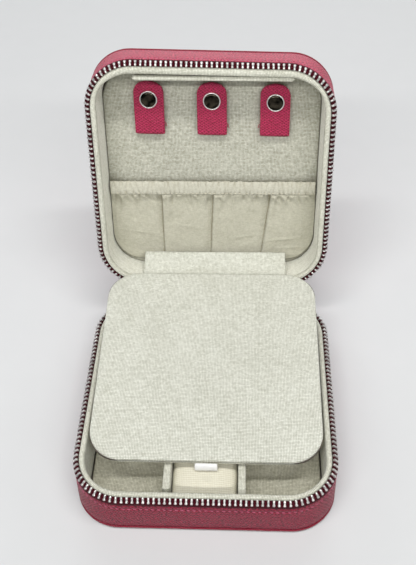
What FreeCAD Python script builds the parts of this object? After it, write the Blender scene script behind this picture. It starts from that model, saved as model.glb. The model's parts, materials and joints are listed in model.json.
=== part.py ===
import FreeCAD, Part
import math
import os
import Sketcher

# Travel jewelry case: square zip-round case, lid standing open, cover panel lying in the base.
# Millimetres, +Z up, origin at the centre of the base's underside, -Y is the front, +Y the hinge
# side. Lid pieces are drawn in closed-case coordinates and carry the opened lid's Placement.

Vector = FreeCAD.Vector
Rotation = FreeCAD.Rotation
Constraint = Sketcher.Constraint

# Driving dimensions. A text value is a spreadsheet formula on the aliases above it.
# _half is a half width, _rad a radius, _thk a thickness, _low the lower height.
SIZES = {
    "gap": 0.1,        # clearance between neighbouring pieces
    "overcut": 1.0,    # how far a cutting tool runs past the piece it cuts
    # plan outlines: half width and corner radius of each skin
    "shell_half": 57.5, "shell_rad": 23.1, "leather_thk": 1.2,
    "core_half": "=shell_half - leather_thk - gap",
    "core_rad": "=shell_rad - leather_thk - gap", "core_thk": 2.0,
    "board_half": "=core_half - core_thk - gap",
    "board_rad": "=core_rad - core_thk - gap",
    "rim_half": 55.0, "rim_rad": 20.6, "well_half": 52.3, "well_rad": 17.0,
    "edge_round": 1.2, "rim_round": 1.0,
    # base heights
    "base_skin": 1.5, "seat": "=base_skin + gap", "board_thk": 2.0,
    "lining_low": "=seat + board_thk + gap", "floor_pad_thk": 1.5,
    "contents_low": "=lining_low + floor_pad_thk + gap",
    "base_wall_top": 20.0, "core_top": "=base_wall_top - gap",
    "lip_low": "=base_wall_top + gap", "base_rim_top": 24.1,
    # hinge line; its height is also the parting plane of the closed case
    "hinge_back": 57.4, "hinge_up": 27.8, "open_angle": 106.6,
    # lid heights, closed-case coordinates; the rim mirrors the base's across the parting plane
    "lid_rim_low": "=2 * hinge_up - base_rim_top",
    "lid_lip_top": "=2 * hinge_up - lip_low",
    "lid_wall_low": "=2 * hinge_up - base_wall_top", "lid_wall_top": 52.9,
    "lid_skin_low": "=lid_wall_top + gap", "lid_skin_thk": 1.5,
    "lid_board_thk": 2.1, "lid_board_low": "=lid_skin_low - gap - lid_board_thk",
    "lid_lining_top": "=lid_board_low - gap",
    "backing_thk": 1.6, "backing_low": "=lid_lining_top - gap - backing_thk",
    "backing_half": 51.6, "backing_rad": 16.4,
    # zip tape
    "tape_half": "=rim_half + gap", "tape_rad": "=rim_rad", "tape_thk": 1.0,
    "tape_low": "=lip_low", "tape_tall": 3.8,
    "lid_tape_low": "=2 * hinge_up - tape_low - tape_tall",
    "tape_gap_y": 50.0, "tape_gap_deep": 10.0,
    # zip teeth and end stops; angles are degrees round a back corner from the +X or -X side
    "tooth_pitch": 2.262, "tooth_wide": 1.15, "tooth_long": 3.5, "tooth_thk": 1.25,
    "tooth_tilt": 15.0, "tooth_root": 55.2, "tooth_seat": 24.0, "zip_end_angle": 66.0,
    "stop_angle": 70.0, "stop_wide": 1.6, "stop_thk": 0.9, "stop_tall": 2.56,
    "stop_offset": 0.2, "stop_lift": 0.9, "lid_stop_lift": 0.4,
    # leather and lining strips across the back
    "spine_half": 31.0, "spine_thk": 1.0, "spine_face": "=shell_half + gap",
    "spine_low": 20.2, "spine_tall": 6.0,
    "gusset_face": "=tape_half", "gusset_thk": 0.9, "gusset_low": 20.2, "gusset_tall": 5.0,
    # base contents
    "divider_x": 16.1, "divider_thk": 3.0, "divider_top": 19.6, "divider_half": 52.0,
    "pillow_half": 14.3, "pillow_len": 103.6, "pillow_tall": 11.1, "pillow_round": 3.0,
    # cover panel, placed by the middle of its back edge
    "panel_half": 51.6, "panel_len": 101.4, "panel_rad": 13.5, "panel_tilt": 6.0,
    "panel_back_y": 63.2, "panel_back_z": 32.5, "panel_round": 0.6, "layer_gap": 0.05,
    "under_thk": 0.7, "panel_core_thk": 1.0, "top_thk": 1.2,
    "ribbon_x": 0.6, "ribbon_half": 4.9, "ribbon_thk": 0.5, "ribbon_tall": 4.3,
    "ribbon_clear": 0.15, "ribbon_rise": 0.3,
    # hinge strip: foot, bend and head of its profile, and the hem along the panel's back edge
    "strip_x": 1.0, "strip_half": 37.0, "strip_thk": 0.9, "strip_lap": 0.2,
    "strip_foot_y": 51.9, "strip_foot_z": 33.4, "strip_bend_z": 36.8,
    "strip_head_y": 44.0, "strip_head_z": 45.8,
    "pivot_y": 63.9, "pivot_z": 32.3, "hem_rad": 0.45,
    # lid ledge
    "ledge_x": 0.9, "ledge_half": 36.6, "ledge_y": -52.0, "ledge_deep": 2.8,
    "ledge_low": 33.2, "ledge_tall": 5.0, "ledge_round": 0.9,
    # snap straps
    "strap_x": 0.3, "strap_step": 29.8, "strap_wide": 14.0, "strap_round": 6.0,
    "strap_head": -44.6, "strap_foot": -21.2, "flap_low": 45.4, "flap_thk": 1.2,
    "back_head": -43.6, "back_low": 47.9, "back_thk": 1.0,
    "snap_y": -35.7, "snap_gap": 0.05, "cap_rad": 3.95, "cap_tall": 1.15, "cap_rim": 0.45,
    "socket_out": 3.3, "socket_in": 2.45, "socket_tall": 1.0, "stud_rad": 2.2, "stud_tall": 0.85,
    # lid pocket: its top and foot are Y positions
    "pocket_top": 4.8, "pocket_foot": 48.6, "pocket_half": 50.9, "pocket_rad": 14.5,
    "pocket_low": 46.3, "pocket_deep": 2.6, "pocket_skin": 0.7,
    "header_wide": 6.6, "header_half": 50.4, "header_low": 44.3, "header_thk": 1.9,
    "elastic_wide": 4.6, "elastic_thk": 0.7, "channel_play": 0.4,
    # slider: a curved plate with two wings and a bail
    "slider_angle": 80.0, "slider_in": 59.15, "slider_thk": 1.2, "slider_long": 8.0,
    "slider_low": 22.2, "slider_tall": 5.9, "slider_wing": 1.5, "wing_thk": 0.9, "wing_lap": 0.2,
    "bail_wide": 2.0, "bail_deep": 1.8, "bail_tall": 3.4, "bail_low": 1.6, "bail_lap": 0.3,
    "bore_rad": 0.62, "bore_out": 0.85,
    # pull: pin, two arms and a tag, hanging from the bail's bore
    "pull_top": 25.0, "pull_wide": 5.0, "pull_long": 17.0, "pull_thk": 1.2, "pull_round": 1.8,
    "pin_rad": 0.5, "pin_short": 0.4, "arm_wide": 1.0, "arm_tall": 3.0, "arm_drop": 2.5,
}

doc = FreeCAD.newDocument("jewelry_case")
sheet = doc.addObject("Spreadsheet::Sheet", "dims")
for row, (alias, value) in enumerate(SIZES.items(), 1):
    sheet.set("A%d" % row, alias)
    sheet.set("B%d" % row, str(value))
    sheet.setAlias("B%d" % row, alias)
doc.recompute()


def size(alias):
    return float(sheet.get(alias))


# ---------------------------------------------------------------- placements and pieces
LID = FreeCAD.Placement(Vector(0, 0, 0), Rotation(Vector(1, 0, 0), -size("open_angle")),
                        Vector(0, size("hinge_back"), size("hinge_up")))
CORNER = size("rim_half") - size("rim_rad")   # x and y of the rim's corner centres
NEAR = 1e-4                                   # tolerance for picking edges
PIECES = []


def at(x=0.0, y=0.0, z=0.0, rotation=None):
    return FreeCAD.Placement(Vector(x, y, z), rotation or Rotation())


def in_lid(x=0.0, y=0.0, z=0.0, rotation=None):
    """Placement of a closed-case position after the lid is opened."""
    return LID.multiply(at(x, y, z, rotation))


def keep(obj, placement=None):
    """Mark an object as a finished piece; its label names the exported file."""
    if placement is not None:
        obj.Placement = placement
    PIECES.append(obj)


def keep_shape(name, shape, placement):
    feature = doc.addObject("Part::Feature", name)
    feature.Shape = shape
    keep(feature, placement)


# ---------------------------------------------------------------- sketched bodies
def square(name, offset=""):
    """Outline as expressions: half width in X, half width in Y, corner radius."""
    half = "dims.%s_half%s" % (name, offset)
    return half, half, "dims.%s_rad%s" % (name, offset)


def start_value(expression):
    """Value of a sum or difference of aliases, to start a sketch close to its solution."""
    total, sign = 0.0, 1.0
    for word in expression.split():
        if word in ("+", "-"):
            sign = 1.0 if word == "+" else -1.0
        else:
            alias, _, divisor = word.replace("dims.", "").partition("/")
            total += sign * size(alias) / float(divisor or 1)
    return total


def drive(sketch, constraint, expression):
    """Add a dimension and bind it to the spreadsheet."""
    index = sketch.addConstraint(constraint)
    sketch.setExpression("Constraints[%d]" % index, expression)


def rounded_loop(sketch, outline):
    """One fully constrained rounded rectangle about the sketch origin."""
    half_x, half_y, rad = [start_value(expression) for expression in outline]
    x_expr, y_expr, rad_expr = outline
    flat_x, flat_y = half_x - rad, half_y - rad
    first = sketch.GeometryCount

    def line(x1, y1, x2, y2):
        return Part.LineSegment(Vector(x1, y1, 0), Vector(x2, y2, 0))

    def arc(x, y, start):
        circle = Part.Circle(Vector(x, y, 0), Vector(0, 0, 1), rad)
        return Part.ArcOfCircle(circle, math.radians(start), math.radians(start + 90))

    # clockwise from the +Y side: lines are even, arcs odd
    sketch.addGeometry([
        line(-flat_x, half_y, flat_x, half_y), arc(flat_x, flat_y, 0),
        line(half_x, flat_y, half_x, -flat_y), arc(flat_x, -flat_y, 270),
        line(flat_x, -half_y, -flat_x, -half_y), arc(-flat_x, -flat_y, 180),
        line(-half_x, -flat_y, -half_x, flat_y), arc(-flat_x, flat_y, 90)], False)
    rules = []
    for side in (0, 2, 4, 6):
        corner = first + side + 1
        rules.append(Constraint("Tangent", first + side, 2, corner, 2))
        rules.append(Constraint("Tangent", corner, 1, first + (side + 2) % 8, 1))
    for side, direction in enumerate(("Horizontal", "Vertical", "Horizontal", "Vertical")):
        rules.append(Constraint(direction, first + 2 * side))
    for corner in (3, 5, 7):
        rules.append(Constraint("Equal", first + 1, first + corner))
    sketch.addConstraint(rules)
    drive(sketch, Constraint("Radius", first + 1, rad), rad_expr)
    drive(sketch, Constraint("DistanceX", -1, 1, first + 2, 1, half_x), x_expr)
    drive(sketch, Constraint("DistanceX", first + 6, 1, -1, 1, half_x), x_expr)
    drive(sketch, Constraint("DistanceY", -1, 1, first, 1, half_y), y_expr)
    drive(sketch, Constraint("DistanceY", first + 4, 1, -1, 1, half_y), y_expr)


def new_sketch(body, name, role):
    """Empty sketch on one of the body's origin planes."""
    sketch = body.newObject("Sketcher::SketchObject", name)
    plane = [f for f in body.Origin.OriginFeatures if f.Role == role][0]
    sketch.AttachmentSupport = [(plane, "")]
    sketch.MapMode = "FlatFace"
    return sketch


def pad(body, name, outlines, height, offset=None):
    """Pad rounded outlines; with two outlines the second is the hole."""
    sketch = new_sketch(body, name, "XY_Plane")
    if offset:
        sketch.setExpression("AttachmentOffset.Base.z", offset)
    for outline in outlines:
        rounded_loop(sketch, outline)
    feature = body.newObject("PartDesign::Pad", name + "_pad")
    feature.Profile = sketch
    feature.setExpression("Length", height)
    body.Tip = feature
    doc.recompute()
    return feature


def round_flat_edges(body, base, z, radius):
    """Fillet every edge of the base feature that lies at height z."""
    edges = []
    for number, edge in enumerate(base.Shape.Edges, 1):
        bounds = edge.BoundBox
        if abs(bounds.ZMin - z) < NEAR and abs(bounds.ZMax - z) < NEAR:
            edges.append("Edge%d" % number)
    feature = body.newObject("PartDesign::Fillet", body.Name + "_round")
    feature.Base = (base, edges)
    feature.setExpression("Radius", radius)
    body.Tip = feature
    doc.recompute()


def slab(name, outline, thickness, placement, round_z=None, radius=None):
    body = doc.addObject("PartDesign::Body", name)
    base = pad(body, name + "_outline", [outline], thickness)
    if radius:
        round_flat_edges(body, base, round_z, radius)
    keep(body, placement)


def ring_body(name, outer, inner, height):
    body = doc.addObject("PartDesign::Body", name)
    pad(body, name + "_outline", [outer, inner], height)
    return body


def lining(name, root, lip, rim, placement):
    """Wall with a thicker rim that overhangs the wall core.

    root, lip and rim are the aliases of the heights where the wall starts, thickens and ends.
    """
    body = doc.addObject("PartDesign::Body", name)
    wall_height = "abs(dims.%s - dims.%s)" % (rim, root)
    lip_offset = "abs(dims.%s - dims.%s)" % (lip, root)
    lip_height = "abs(dims.%s - dims.%s)" % (rim, lip)
    pad(body, name + "_wall", [square("board"), square("well")], wall_height)
    top = pad(body, name + "_lip", [square("rim"), square("well")], lip_height, lip_offset)
    round_flat_edges(body, top, abs(size(rim) - size(root)), "dims.rim_round")
    keep(body, placement)


# ---------------------------------------------------------------- boxes, cylinders and cuts
def box(name, length, width, height, placement=None):
    """Box driven by three expressions."""
    obj = doc.addObject("Part::Box", name)
    for prop, expression in (("Length", length), ("Width", width), ("Height", height)):
        obj.setExpression(prop, expression)
    obj.Placement = placement or at()
    return obj


def cylinder(name, radius, height):
    obj = doc.addObject("Part::Cylinder", name)
    obj.setExpression("Radius", radius)
    obj.setExpression("Height", height)
    return obj


def combine(kind, name, base, tool):
    obj = doc.addObject("Part::" + kind, name)
    obj.Base = base
    obj.Tool = tool
    return obj


def rounded_edges(name, base, radius, pick):
    """Fillet the edges of the base whose bounding box passes the pick function."""
    doc.recompute()
    obj = doc.addObject("Part::Fillet", name)
    obj.Base = base
    obj.Edges = [(number, radius, radius)
                 for number, edge in enumerate(base.Shape.Edges, 1) if pick(edge.BoundBox)]
    return obj


# ---------------------------------------------------------------- base
def base_shell():
    seat = at(0, 0, size("seat"))
    slab("base_bottom_cover", square("shell"), "dims.base_skin", at(), 0.0, "dims.edge_round")
    keep(ring_body("base_leather_wall", square("shell"), square("shell", " - dims.leather_thk"),
                   "dims.base_wall_top - dims.seat"), seat)
    keep(ring_body("base_wall_core", square("core"), square("core", " - dims.core_thk"),
                   "dims.core_top - dims.seat"), seat)
    slab("base_floor_board", square("board"), "dims.board_thk", seat)
    on_board = at(0, 0, size("lining_low"))
    lining("base_wall_lining", "lining_low", "lip_low", "base_rim_top", on_board)
    slab("base_floor_pad", square("well", " - dims.gap"), "dims.floor_pad_thk", on_board)


def base_contents():
    """Two dividers running front to back and the pillow between them."""
    low = size("contents_low")
    for side, sign in (("left", -1), ("right", 1)):
        keep(box("divider_" + side, "dims.divider_thk", "2 * dims.divider_half",
                 "dims.divider_top - dims.contents_low",
                 at(sign * size("divider_x") - size("divider_thk") / 2,
                    -size("divider_half"), low)))
    block = box("pillow_block", "2 * dims.pillow_half", "dims.pillow_len", "dims.pillow_tall",
                at(-size("pillow_half"), -size("pillow_len") / 2, low))
    top = low + size("pillow_tall")
    keep(rounded_edges("jewelry_pillow", block, size("pillow_round"),
                       lambda bounds: bounds.ZMin > top - NEAR))


# ---------------------------------------------------------------- lid shell
def lid_shell():
    wall_height = "dims.lid_wall_top - dims.lid_wall_low"
    wall_place = in_lid(0, 0, size("lid_wall_low"))
    slab("lid_top_cover", square("shell"), "dims.lid_skin_thk",
         in_lid(0, 0, size("lid_skin_low")), size("lid_skin_thk"), "dims.edge_round")
    keep(ring_body("lid_leather_wall", square("shell"), square("shell", " - dims.leather_thk"),
                   wall_height), wall_place)
    keep(ring_body("lid_wall_core", square("core"), square("core", " - dims.core_thk"),
                   wall_height), wall_place)
    slab("lid_top_board", square("board"), "dims.lid_board_thk",
         in_lid(0, 0, size("lid_board_low")))
    # turned over, so that its rim points down at the base
    lining("lid_wall_lining", "lid_lining_top", "lid_lip_top", "lid_rim_low",
           in_lid(0, 0, size("lid_lining_top"), Rotation(Vector(0, 1, 0), 180)))
    slab("lid_back_panel", square("backing"), "dims.backing_thk",
         in_lid(0, 0, size("backing_low")))


def lid_ledge():
    """Strip along the lid's front wall, rounded on the side facing the well."""
    block = box("ledge_block", "2 * dims.ledge_half", "dims.ledge_deep", "dims.ledge_tall")
    inner_face = size("ledge_deep")
    strip = rounded_edges("lid_ledge_strip", block, size("ledge_round"),
                          lambda bounds: bounds.YMin > inner_face - NEAR)
    keep(strip, in_lid(size("ledge_x") - size("ledge_half"), size("ledge_y"), size("ledge_low")))


# ---------------------------------------------------------------- zip
def zip_tape(name, placement):
    """Woven tape standing round the rim, left out across the spine."""
    loop = ring_body(name + "_loop", square("tape", " + dims.tape_thk"), square("tape"),
                     "dims.tape_tall")
    over = size("overcut")
    spine_gap = box(name + "_gap", "2 * dims.spine_half + 2 * dims.overcut",
                    "dims.tape_gap_deep", "dims.tape_tall + 2 * dims.overcut",
                    at(-size("spine_half") - over, size("tape_gap_y"), -over))
    keep(combine("Cut", name, loop, spine_gap), placement)


def zip_path(shift):
    """Tooth positions (x, y, outward angle) from the back left corner round the front."""
    rad = size("tooth_root") - CORNER
    pitch = size("tooth_pitch")
    end = math.radians(size("zip_end_angle"))
    quarter = math.pi / 2
    side = 2 * CORNER
    # run length, corner centre x and y, outward angle at the start, whether the run is an arc
    runs = [
        (rad * end, -CORNER, CORNER, math.pi - end, True),
        (side, -CORNER, CORNER, math.pi, False),
        (rad * quarter, -CORNER, -CORNER, math.pi, True),
        (side, -CORNER, -CORNER, 3 * quarter, False),
        (rad * quarter, CORNER, -CORNER, 3 * quarter, True),
        (side, CORNER, -CORNER, 0.0, False),
        (rad * end, CORNER, CORNER, 0.0, True),
    ]
    total = sum(run[0] for run in runs)
    count = int(total / pitch)
    start = (total - (count - 1) * pitch) / 2 + shift
    points = []
    for k in range(count):
        along = start + k * pitch
        for length, centre_x, centre_y, angle, is_arc in runs:
            if along <= length:
                break
            along -= length
        if is_arc:
            angle += along / rad
            along = 0.0
        points.append((centre_x + rad * math.cos(angle) - along * math.sin(angle),
                       centre_y + rad * math.sin(angle) + along * math.cos(angle), angle))
    return points


def zip_teeth(name, shift, in_lid_half, placement):
    """Identical teeth along the tape's edge, each its own solid, leaning outwards."""
    wide = size("tooth_wide")
    solids = []
    for x, y, angle in zip_path(shift):
        tooth = Part.makeBox(size("tooth_long"), wide, size("tooth_thk"), Vector(0, -wide / 2, 0))
        tooth.rotate(Vector(0, 0, 0), Vector(0, 1, 0), -size("tooth_tilt"))
        tooth.rotate(Vector(0, 0, 0), Vector(0, 0, 1), math.degrees(angle))
        tooth.translate(Vector(x, y, size("tooth_seat")))
        if in_lid_half:
            tooth = tooth.mirror(Vector(0, 0, size("hinge_up")), Vector(0, 0, 1))
        solids.append(tooth)
    keep_shape(name, Part.makeCompound(solids), placement)


def zip_end_stops(name, low, placement):
    """Two stops on the tape, one past each end of the teeth."""
    wide = size("stop_wide")
    rad = size("rim_rad") + size("tape_thk") + size("stop_offset")
    angle = math.radians(size("stop_angle"))
    right = Part.makeBox(size("stop_thk"), wide, size("stop_tall"), Vector(0, -wide / 2, 0))
    right.rotate(Vector(0, 0, 0), Vector(0, 0, 1), size("stop_angle"))
    right.translate(Vector(CORNER + rad * math.cos(angle), CORNER + rad * math.sin(angle), low))
    left = right.mirror(Vector(0, 0, 0), Vector(1, 0, 0))
    keep_shape(name, Part.makeCompound([left, right]), placement)


def zip_chain():
    zip_tape("base_zip_tape", at(0, 0, size("tape_low")))
    zip_tape("lid_zip_tape", in_lid(0, 0, size("lid_tape_low")))
    # the lid's teeth sit half a pitch along, between the base's
    zip_teeth("base_zip_teeth", 0.0, False, at())
    zip_teeth("lid_zip_teeth", size("tooth_pitch") / 2, True, in_lid())
    zip_end_stops("base_zip_end_stops", size("tape_low") + size("stop_lift"), at())
    zip_end_stops("lid_zip_end_stops", size("lid_tape_low") + size("lid_stop_lift"), in_lid())


def spine():
    for name, alias in (("spine_leather", "spine"), ("spine_lining", "gusset")):
        keep(box(name, "2 * dims.spine_half", "dims.%s_thk" % alias, "dims.%s_tall" % alias,
                 at(-size("spine_half"), size(alias + "_face"), size(alias + "_low"))))


# ---------------------------------------------------------------- lid pocket
def pocket_bag(half, top, tall, low, deep, rad):
    """Block from Y = top, with the two vertical edges at its far Y end rounded."""
    block = Part.makeBox(2 * half, tall, deep, Vector(-half, top, low))
    edges = [edge for edge in block.Edges
             if abs(edge.BoundBox.ZLength - deep) < 1e-6
             and edge.BoundBox.YMin > top + tall - 1e-6]
    return block.makeFillet(rad, edges)


def pocket_sheet():
    """Flat pocket open at its top edge and on the side facing the lid's back panel."""
    top, low, half = size("pocket_top"), size("pocket_low"), size("pocket_half")
    deep, rad, skin = size("pocket_deep"), size("pocket_rad"), size("pocket_skin")
    over = size("overcut")
    tall = size("pocket_foot") - top
    outer = pocket_bag(half, top, tall, low, deep, rad)
    inner = pocket_bag(half - skin, top - over, tall - skin + over, low + skin,
                       deep - skin + over, rad - skin)
    keep_shape("pocket_sheet", outer.cut(inner), in_lid())


def pocket_header():
    """Sleeve along the pocket's top edge, with the elastic in its channel."""
    spare_wide = size("header_wide") - size("elastic_wide")
    spare_thk = size("header_thk") - size("elastic_thk")
    play = size("channel_play")
    sleeve = box("header_sleeve", "2 * dims.header_half", "dims.header_wide", "dims.header_thk")
    channel = box("header_channel", "2 * dims.header_half + 2 * dims.overcut",
                  "dims.elastic_wide + dims.channel_play", "dims.elastic_thk + dims.channel_play",
                  at(-size("overcut"), (spare_wide - play) / 2, (spare_thk - play) / 2))
    left, top, low = -size("header_half"), size("pocket_top"), size("header_low")
    keep(combine("Cut", "pocket_header", sleeve, channel), in_lid(left, top, low))
    keep(box("pocket_elastic", "2 * dims.header_half", "dims.elastic_wide", "dims.elastic_thk"),
         in_lid(left, top + spare_wide / 2, low + spare_thk / 2))


# ---------------------------------------------------------------- snap straps
def strap(name, kind, head, centre_x):
    """Flat strap with the two corners of its front end rounded."""
    blank = box(name + "_blank", "dims.strap_wide", "dims.strap_foot - dims." + head,
                "dims.%s_thk" % kind)
    piece = rounded_edges(name, blank, size("strap_round"),
                          lambda bounds: bounds.YMax < NEAR and bounds.ZLength > 0.5)
    keep(piece, in_lid(centre_x - size("strap_wide") / 2, size(head), size(kind + "_low")))


def snap_cap(name, centre_x):
    """Domed cap on the flap's outer face: half profile turned about the vertical axis."""
    body = doc.addObject("PartDesign::Body", name)
    sketch = new_sketch(body, name + "_profile", "XZ_Plane")
    rad, tall, rim = size("cap_rad"), size("cap_tall"), size("cap_rim")
    ball = ((tall - rim) ** 2 + rad ** 2) / (2 * (tall - rim))
    dome = Part.Circle(Vector(0, tall - ball, 0), Vector(0, 0, 1), ball)
    sketch.addGeometry([
        Part.LineSegment(Vector(0, 0, 0), Vector(rad, 0, 0)),
        Part.LineSegment(Vector(rad, 0, 0), Vector(rad, rim, 0)),
        Part.ArcOfCircle(dome, math.atan2(rim - tall + ball, rad), math.pi / 2),
        Part.LineSegment(Vector(0, tall, 0), Vector(0, 0, 0))], False)
    sketch.addConstraint([
        Constraint("Coincident", 0, 2, 1, 1), Constraint("Coincident", 1, 2, 2, 1),
        Constraint("Coincident", 2, 2, 3, 1), Constraint("Coincident", 3, 2, 0, 1),
        Constraint("Coincident", 0, 1, -1, 1), Constraint("Horizontal", 0),
        Constraint("Vertical", 1), Constraint("Vertical", 3),
        Constraint("PointOnObject", 2, 3, -2)])
    drive(sketch, Constraint("DistanceX", 0, 1, 0, 2, rad), "dims.cap_rad")
    drive(sketch, Constraint("DistanceY", 3, 2, 3, 1, tall), "dims.cap_tall")
    drive(sketch, Constraint("DistanceY", 1, 1, 1, 2, rim), "dims.cap_rim")
    turn = body.newObject("PartDesign::Revolution", name + "_turn")
    turn.Profile = sketch
    turn.ReferenceAxis = (sketch, ["V_Axis"])
    turn.Angle = 360
    body.Tip = turn
    keep(body, in_lid(centre_x, size("snap_y"), size("flap_low") - size("snap_gap"),
                      Rotation(Vector(1, 0, 0), 180)))


def snap_socket(side, centre_x):
    """Ring on the flap's inner face."""
    outer = cylinder("socket_%s_out" % side, "dims.socket_out", "dims.socket_tall")
    inner = cylinder("socket_%s_in" % side, "dims.socket_in",
                     "dims.socket_tall + dims.overcut")
    keep(combine("Cut", "snap_socket_" + side, outer, inner),
         in_lid(centre_x, size("snap_y"),
                size("flap_low") + size("flap_thk") + size("snap_gap")))


def snap_straps():
    stud_low = size("back_low") - size("snap_gap") - size("stud_tall")
    studs = []
    for side, step in (("left", -1), ("centre", 0), ("right", 1)):
        centre_x = size("strap_x") + step * size("strap_step")
        strap("strap_back_" + side, "back", "back_head", centre_x)
        strap("strap_flap_" + side, "flap", "strap_head", centre_x)
        snap_cap("snap_cap_" + side, centre_x)
        snap_socket(side, centre_x)
        studs.append(Part.makeCylinder(size("stud_rad"), size("stud_tall"),
                                       Vector(centre_x, size("snap_y"), stud_low)))
    keep_shape("snap_studs", Part.makeCompound(studs), in_lid())


# ---------------------------------------------------------------- hinge strip and cover panel
def hinge_strip():
    """Strip that rises behind the panel's back edge, then leans forward to the lid's back."""
    bend = size("strip_bend_z") - size("strip_foot_z")
    lean_y = size("strip_head_y") - size("strip_foot_y")
    lean_z = size("strip_head_z") - size("strip_bend_z") + size("strip_lap")
    lean_angle = math.degrees(math.atan2(lean_z, lean_y))
    left = size("strip_x") - size("strip_half")
    root = box("strip_root", "2 * dims.strip_half", "dims.strip_bend_z - dims.strip_foot_z",
               "dims.strip_thk", at(rotation=Rotation(Vector(1, 0, 0), 90)))
    lean = box("strip_lean", "2 * dims.strip_half", str(math.hypot(lean_y, lean_z)),
               "dims.strip_thk",
               at(0, 0, bend - size("strip_lap"), Rotation(Vector(1, 0, 0), lean_angle)))
    keep(combine("Fuse", "hinge_strip", root, lean),
         in_lid(left, size("strip_foot_y"), size("strip_foot_z")))
    keep(cylinder("hinge_strip_hem", "dims.hem_rad", "2 * dims.strip_half"),
         at(left, size("pivot_y"), size("pivot_z"), Rotation(Vector(0, 1, 0), 90)))


def cover_panel():
    """Three stacked layers tilted about the back edge, and a ribbon at the front edge."""
    back_edge = at(0, size("panel_back_y"), size("panel_back_z"),
                   Rotation(Vector(1, 0, 0), size("panel_tilt")))
    board_z = size("under_thk") + size("layer_gap")
    top_z = board_z + size("panel_core_thk") + size("layer_gap")

    def layer_at(z):
        return back_edge.multiply(at(0, -size("panel_len") / 2, z))

    outline = ("dims.panel_half", "dims.panel_len/2", "dims.panel_rad")
    inset = tuple(expression + " - dims.gap" for expression in outline)
    slab("panel_underside", outline, "dims.under_thk", layer_at(0))
    slab("panel_board", inset, "dims.panel_core_thk", layer_at(board_z))
    slab("panel_top_pad", outline, "dims.top_thk", layer_at(top_z), size("top_thk"),
         "dims.panel_round")
    front = back_edge.multVec(Vector(0, -size("panel_len"), 0))
    keep(box("panel_pull_ribbon", "2 * dims.ribbon_half", "dims.ribbon_thk", "dims.ribbon_tall"),
         at(size("ribbon_x") - size("ribbon_half"),
            front.y - size("ribbon_thk") - size("ribbon_clear"),
            front.z - size("ribbon_tall") + size("ribbon_rise")))


# ---------------------------------------------------------------- slider and pull
def slider_frame(z):
    """Frame on the back right corner's axis, its +Y pointing out through the slider."""
    return at(CORNER, CORNER, z, Rotation(Vector(0, 0, 1), size("slider_angle") - 90))


def tube(outer, inner, height):
    return Part.makeCylinder(outer, height).cut(Part.makeCylinder(inner, height))


def zip_slider():
    inner = size("slider_in") - CORNER
    outer = inner + size("slider_thk")
    tall, long_side = size("slider_tall"), size("slider_long")
    plate = tube(outer, inner, tall)
    low_wing = tube(inner + size("wing_lap"), inner - size("slider_wing"), size("wing_thk"))
    top_wing = low_wing.copy()
    top_wing.translate(Vector(0, 0, tall - size("wing_thk")))
    # the window keeps only the short arc of the slider; its depth reaches past the plate
    window = Part.makeBox(long_side, 60, tall, Vector(-long_side / 2, 0, 0))
    slider = plate.fuse([low_wing, top_wing]).common(window)
    wide = size("bail_wide")
    bail = Part.makeBox(wide, size("bail_deep"), size("bail_tall"),
                        Vector(-wide / 2, outer - size("bail_lap"), size("bail_low")))
    bore = Part.makeCylinder(size("bore_rad"), 2 * wide,
                             Vector(-wide, outer + size("bore_out"),
                                    size("pull_top") - size("slider_low")), Vector(1, 0, 0))
    keep_shape("zip_slider", slider.fuse(bail.cut(bore)).removeSplitter(),
               slider_frame(size("slider_low")))


def zip_pull():
    """A pin through the bail and a flat tag hanging from it on two arms."""
    pin_y = size("slider_in") - CORNER + size("slider_thk") + size("bore_out")
    wide, thick, long_side = size("pull_wide"), size("pull_thk"), size("pull_long")
    drop, arm_wide = size("arm_drop"), size("arm_wide")
    face_y = pin_y - thick / 2
    pin_long = wide - size("pin_short")
    pin = Part.makeCylinder(size("pin_rad"), pin_long, Vector(-pin_long / 2, pin_y, 0),
                            Vector(1, 0, 0))
    arms = [Part.makeBox(arm_wide, thick, size("arm_tall"), Vector(x, face_y, -drop))
            for x in (-wide / 2, wide / 2 - arm_wide)]
    tag = Part.makeBox(wide, thick, long_side - drop, Vector(-wide / 2, face_y, -long_side))
    low_corners = [edge for edge in tag.Edges
                   if abs(edge.BoundBox.YLength - thick) < 1e-6
                   and edge.BoundBox.ZMax < -long_side + 1e-6]
    tag = tag.makeFillet(size("pull_round"), low_corners)
    keep_shape("zip_pull", pin.fuse(arms + [tag]).removeSplitter(),
               slider_frame(size("pull_top")))


# ---------------------------------------------------------------- build, check and export
for build in (base_shell, base_contents, lid_shell, lid_ledge, zip_chain, spine, pocket_sheet,
              pocket_header, snap_straps, hinge_strip, cover_panel, zip_slider, zip_pull):
    build()
doc.recompute()

failed = [obj.Name for obj in doc.Objects if "Invalid" in obj.State or "Error" in obj.State]
if failed:
    raise RuntimeError("failed objects: %s" % failed)
for piece in PIECES:
    if piece.Shape.isNull() or not piece.Shape.isValid() or not piece.Shape.Solids:
        raise RuntimeError("bad shape: %s" % piece.Label)

os.makedirs("parts", exist_ok=True)
for piece in PIECES:
    piece.Shape.exportStep(os.path.join("parts", piece.Label + ".step"))
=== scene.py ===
import json
import math
import random

import bmesh
import bpy
import numpy as np
from mathutils import Matrix, Vector, noise


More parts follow.
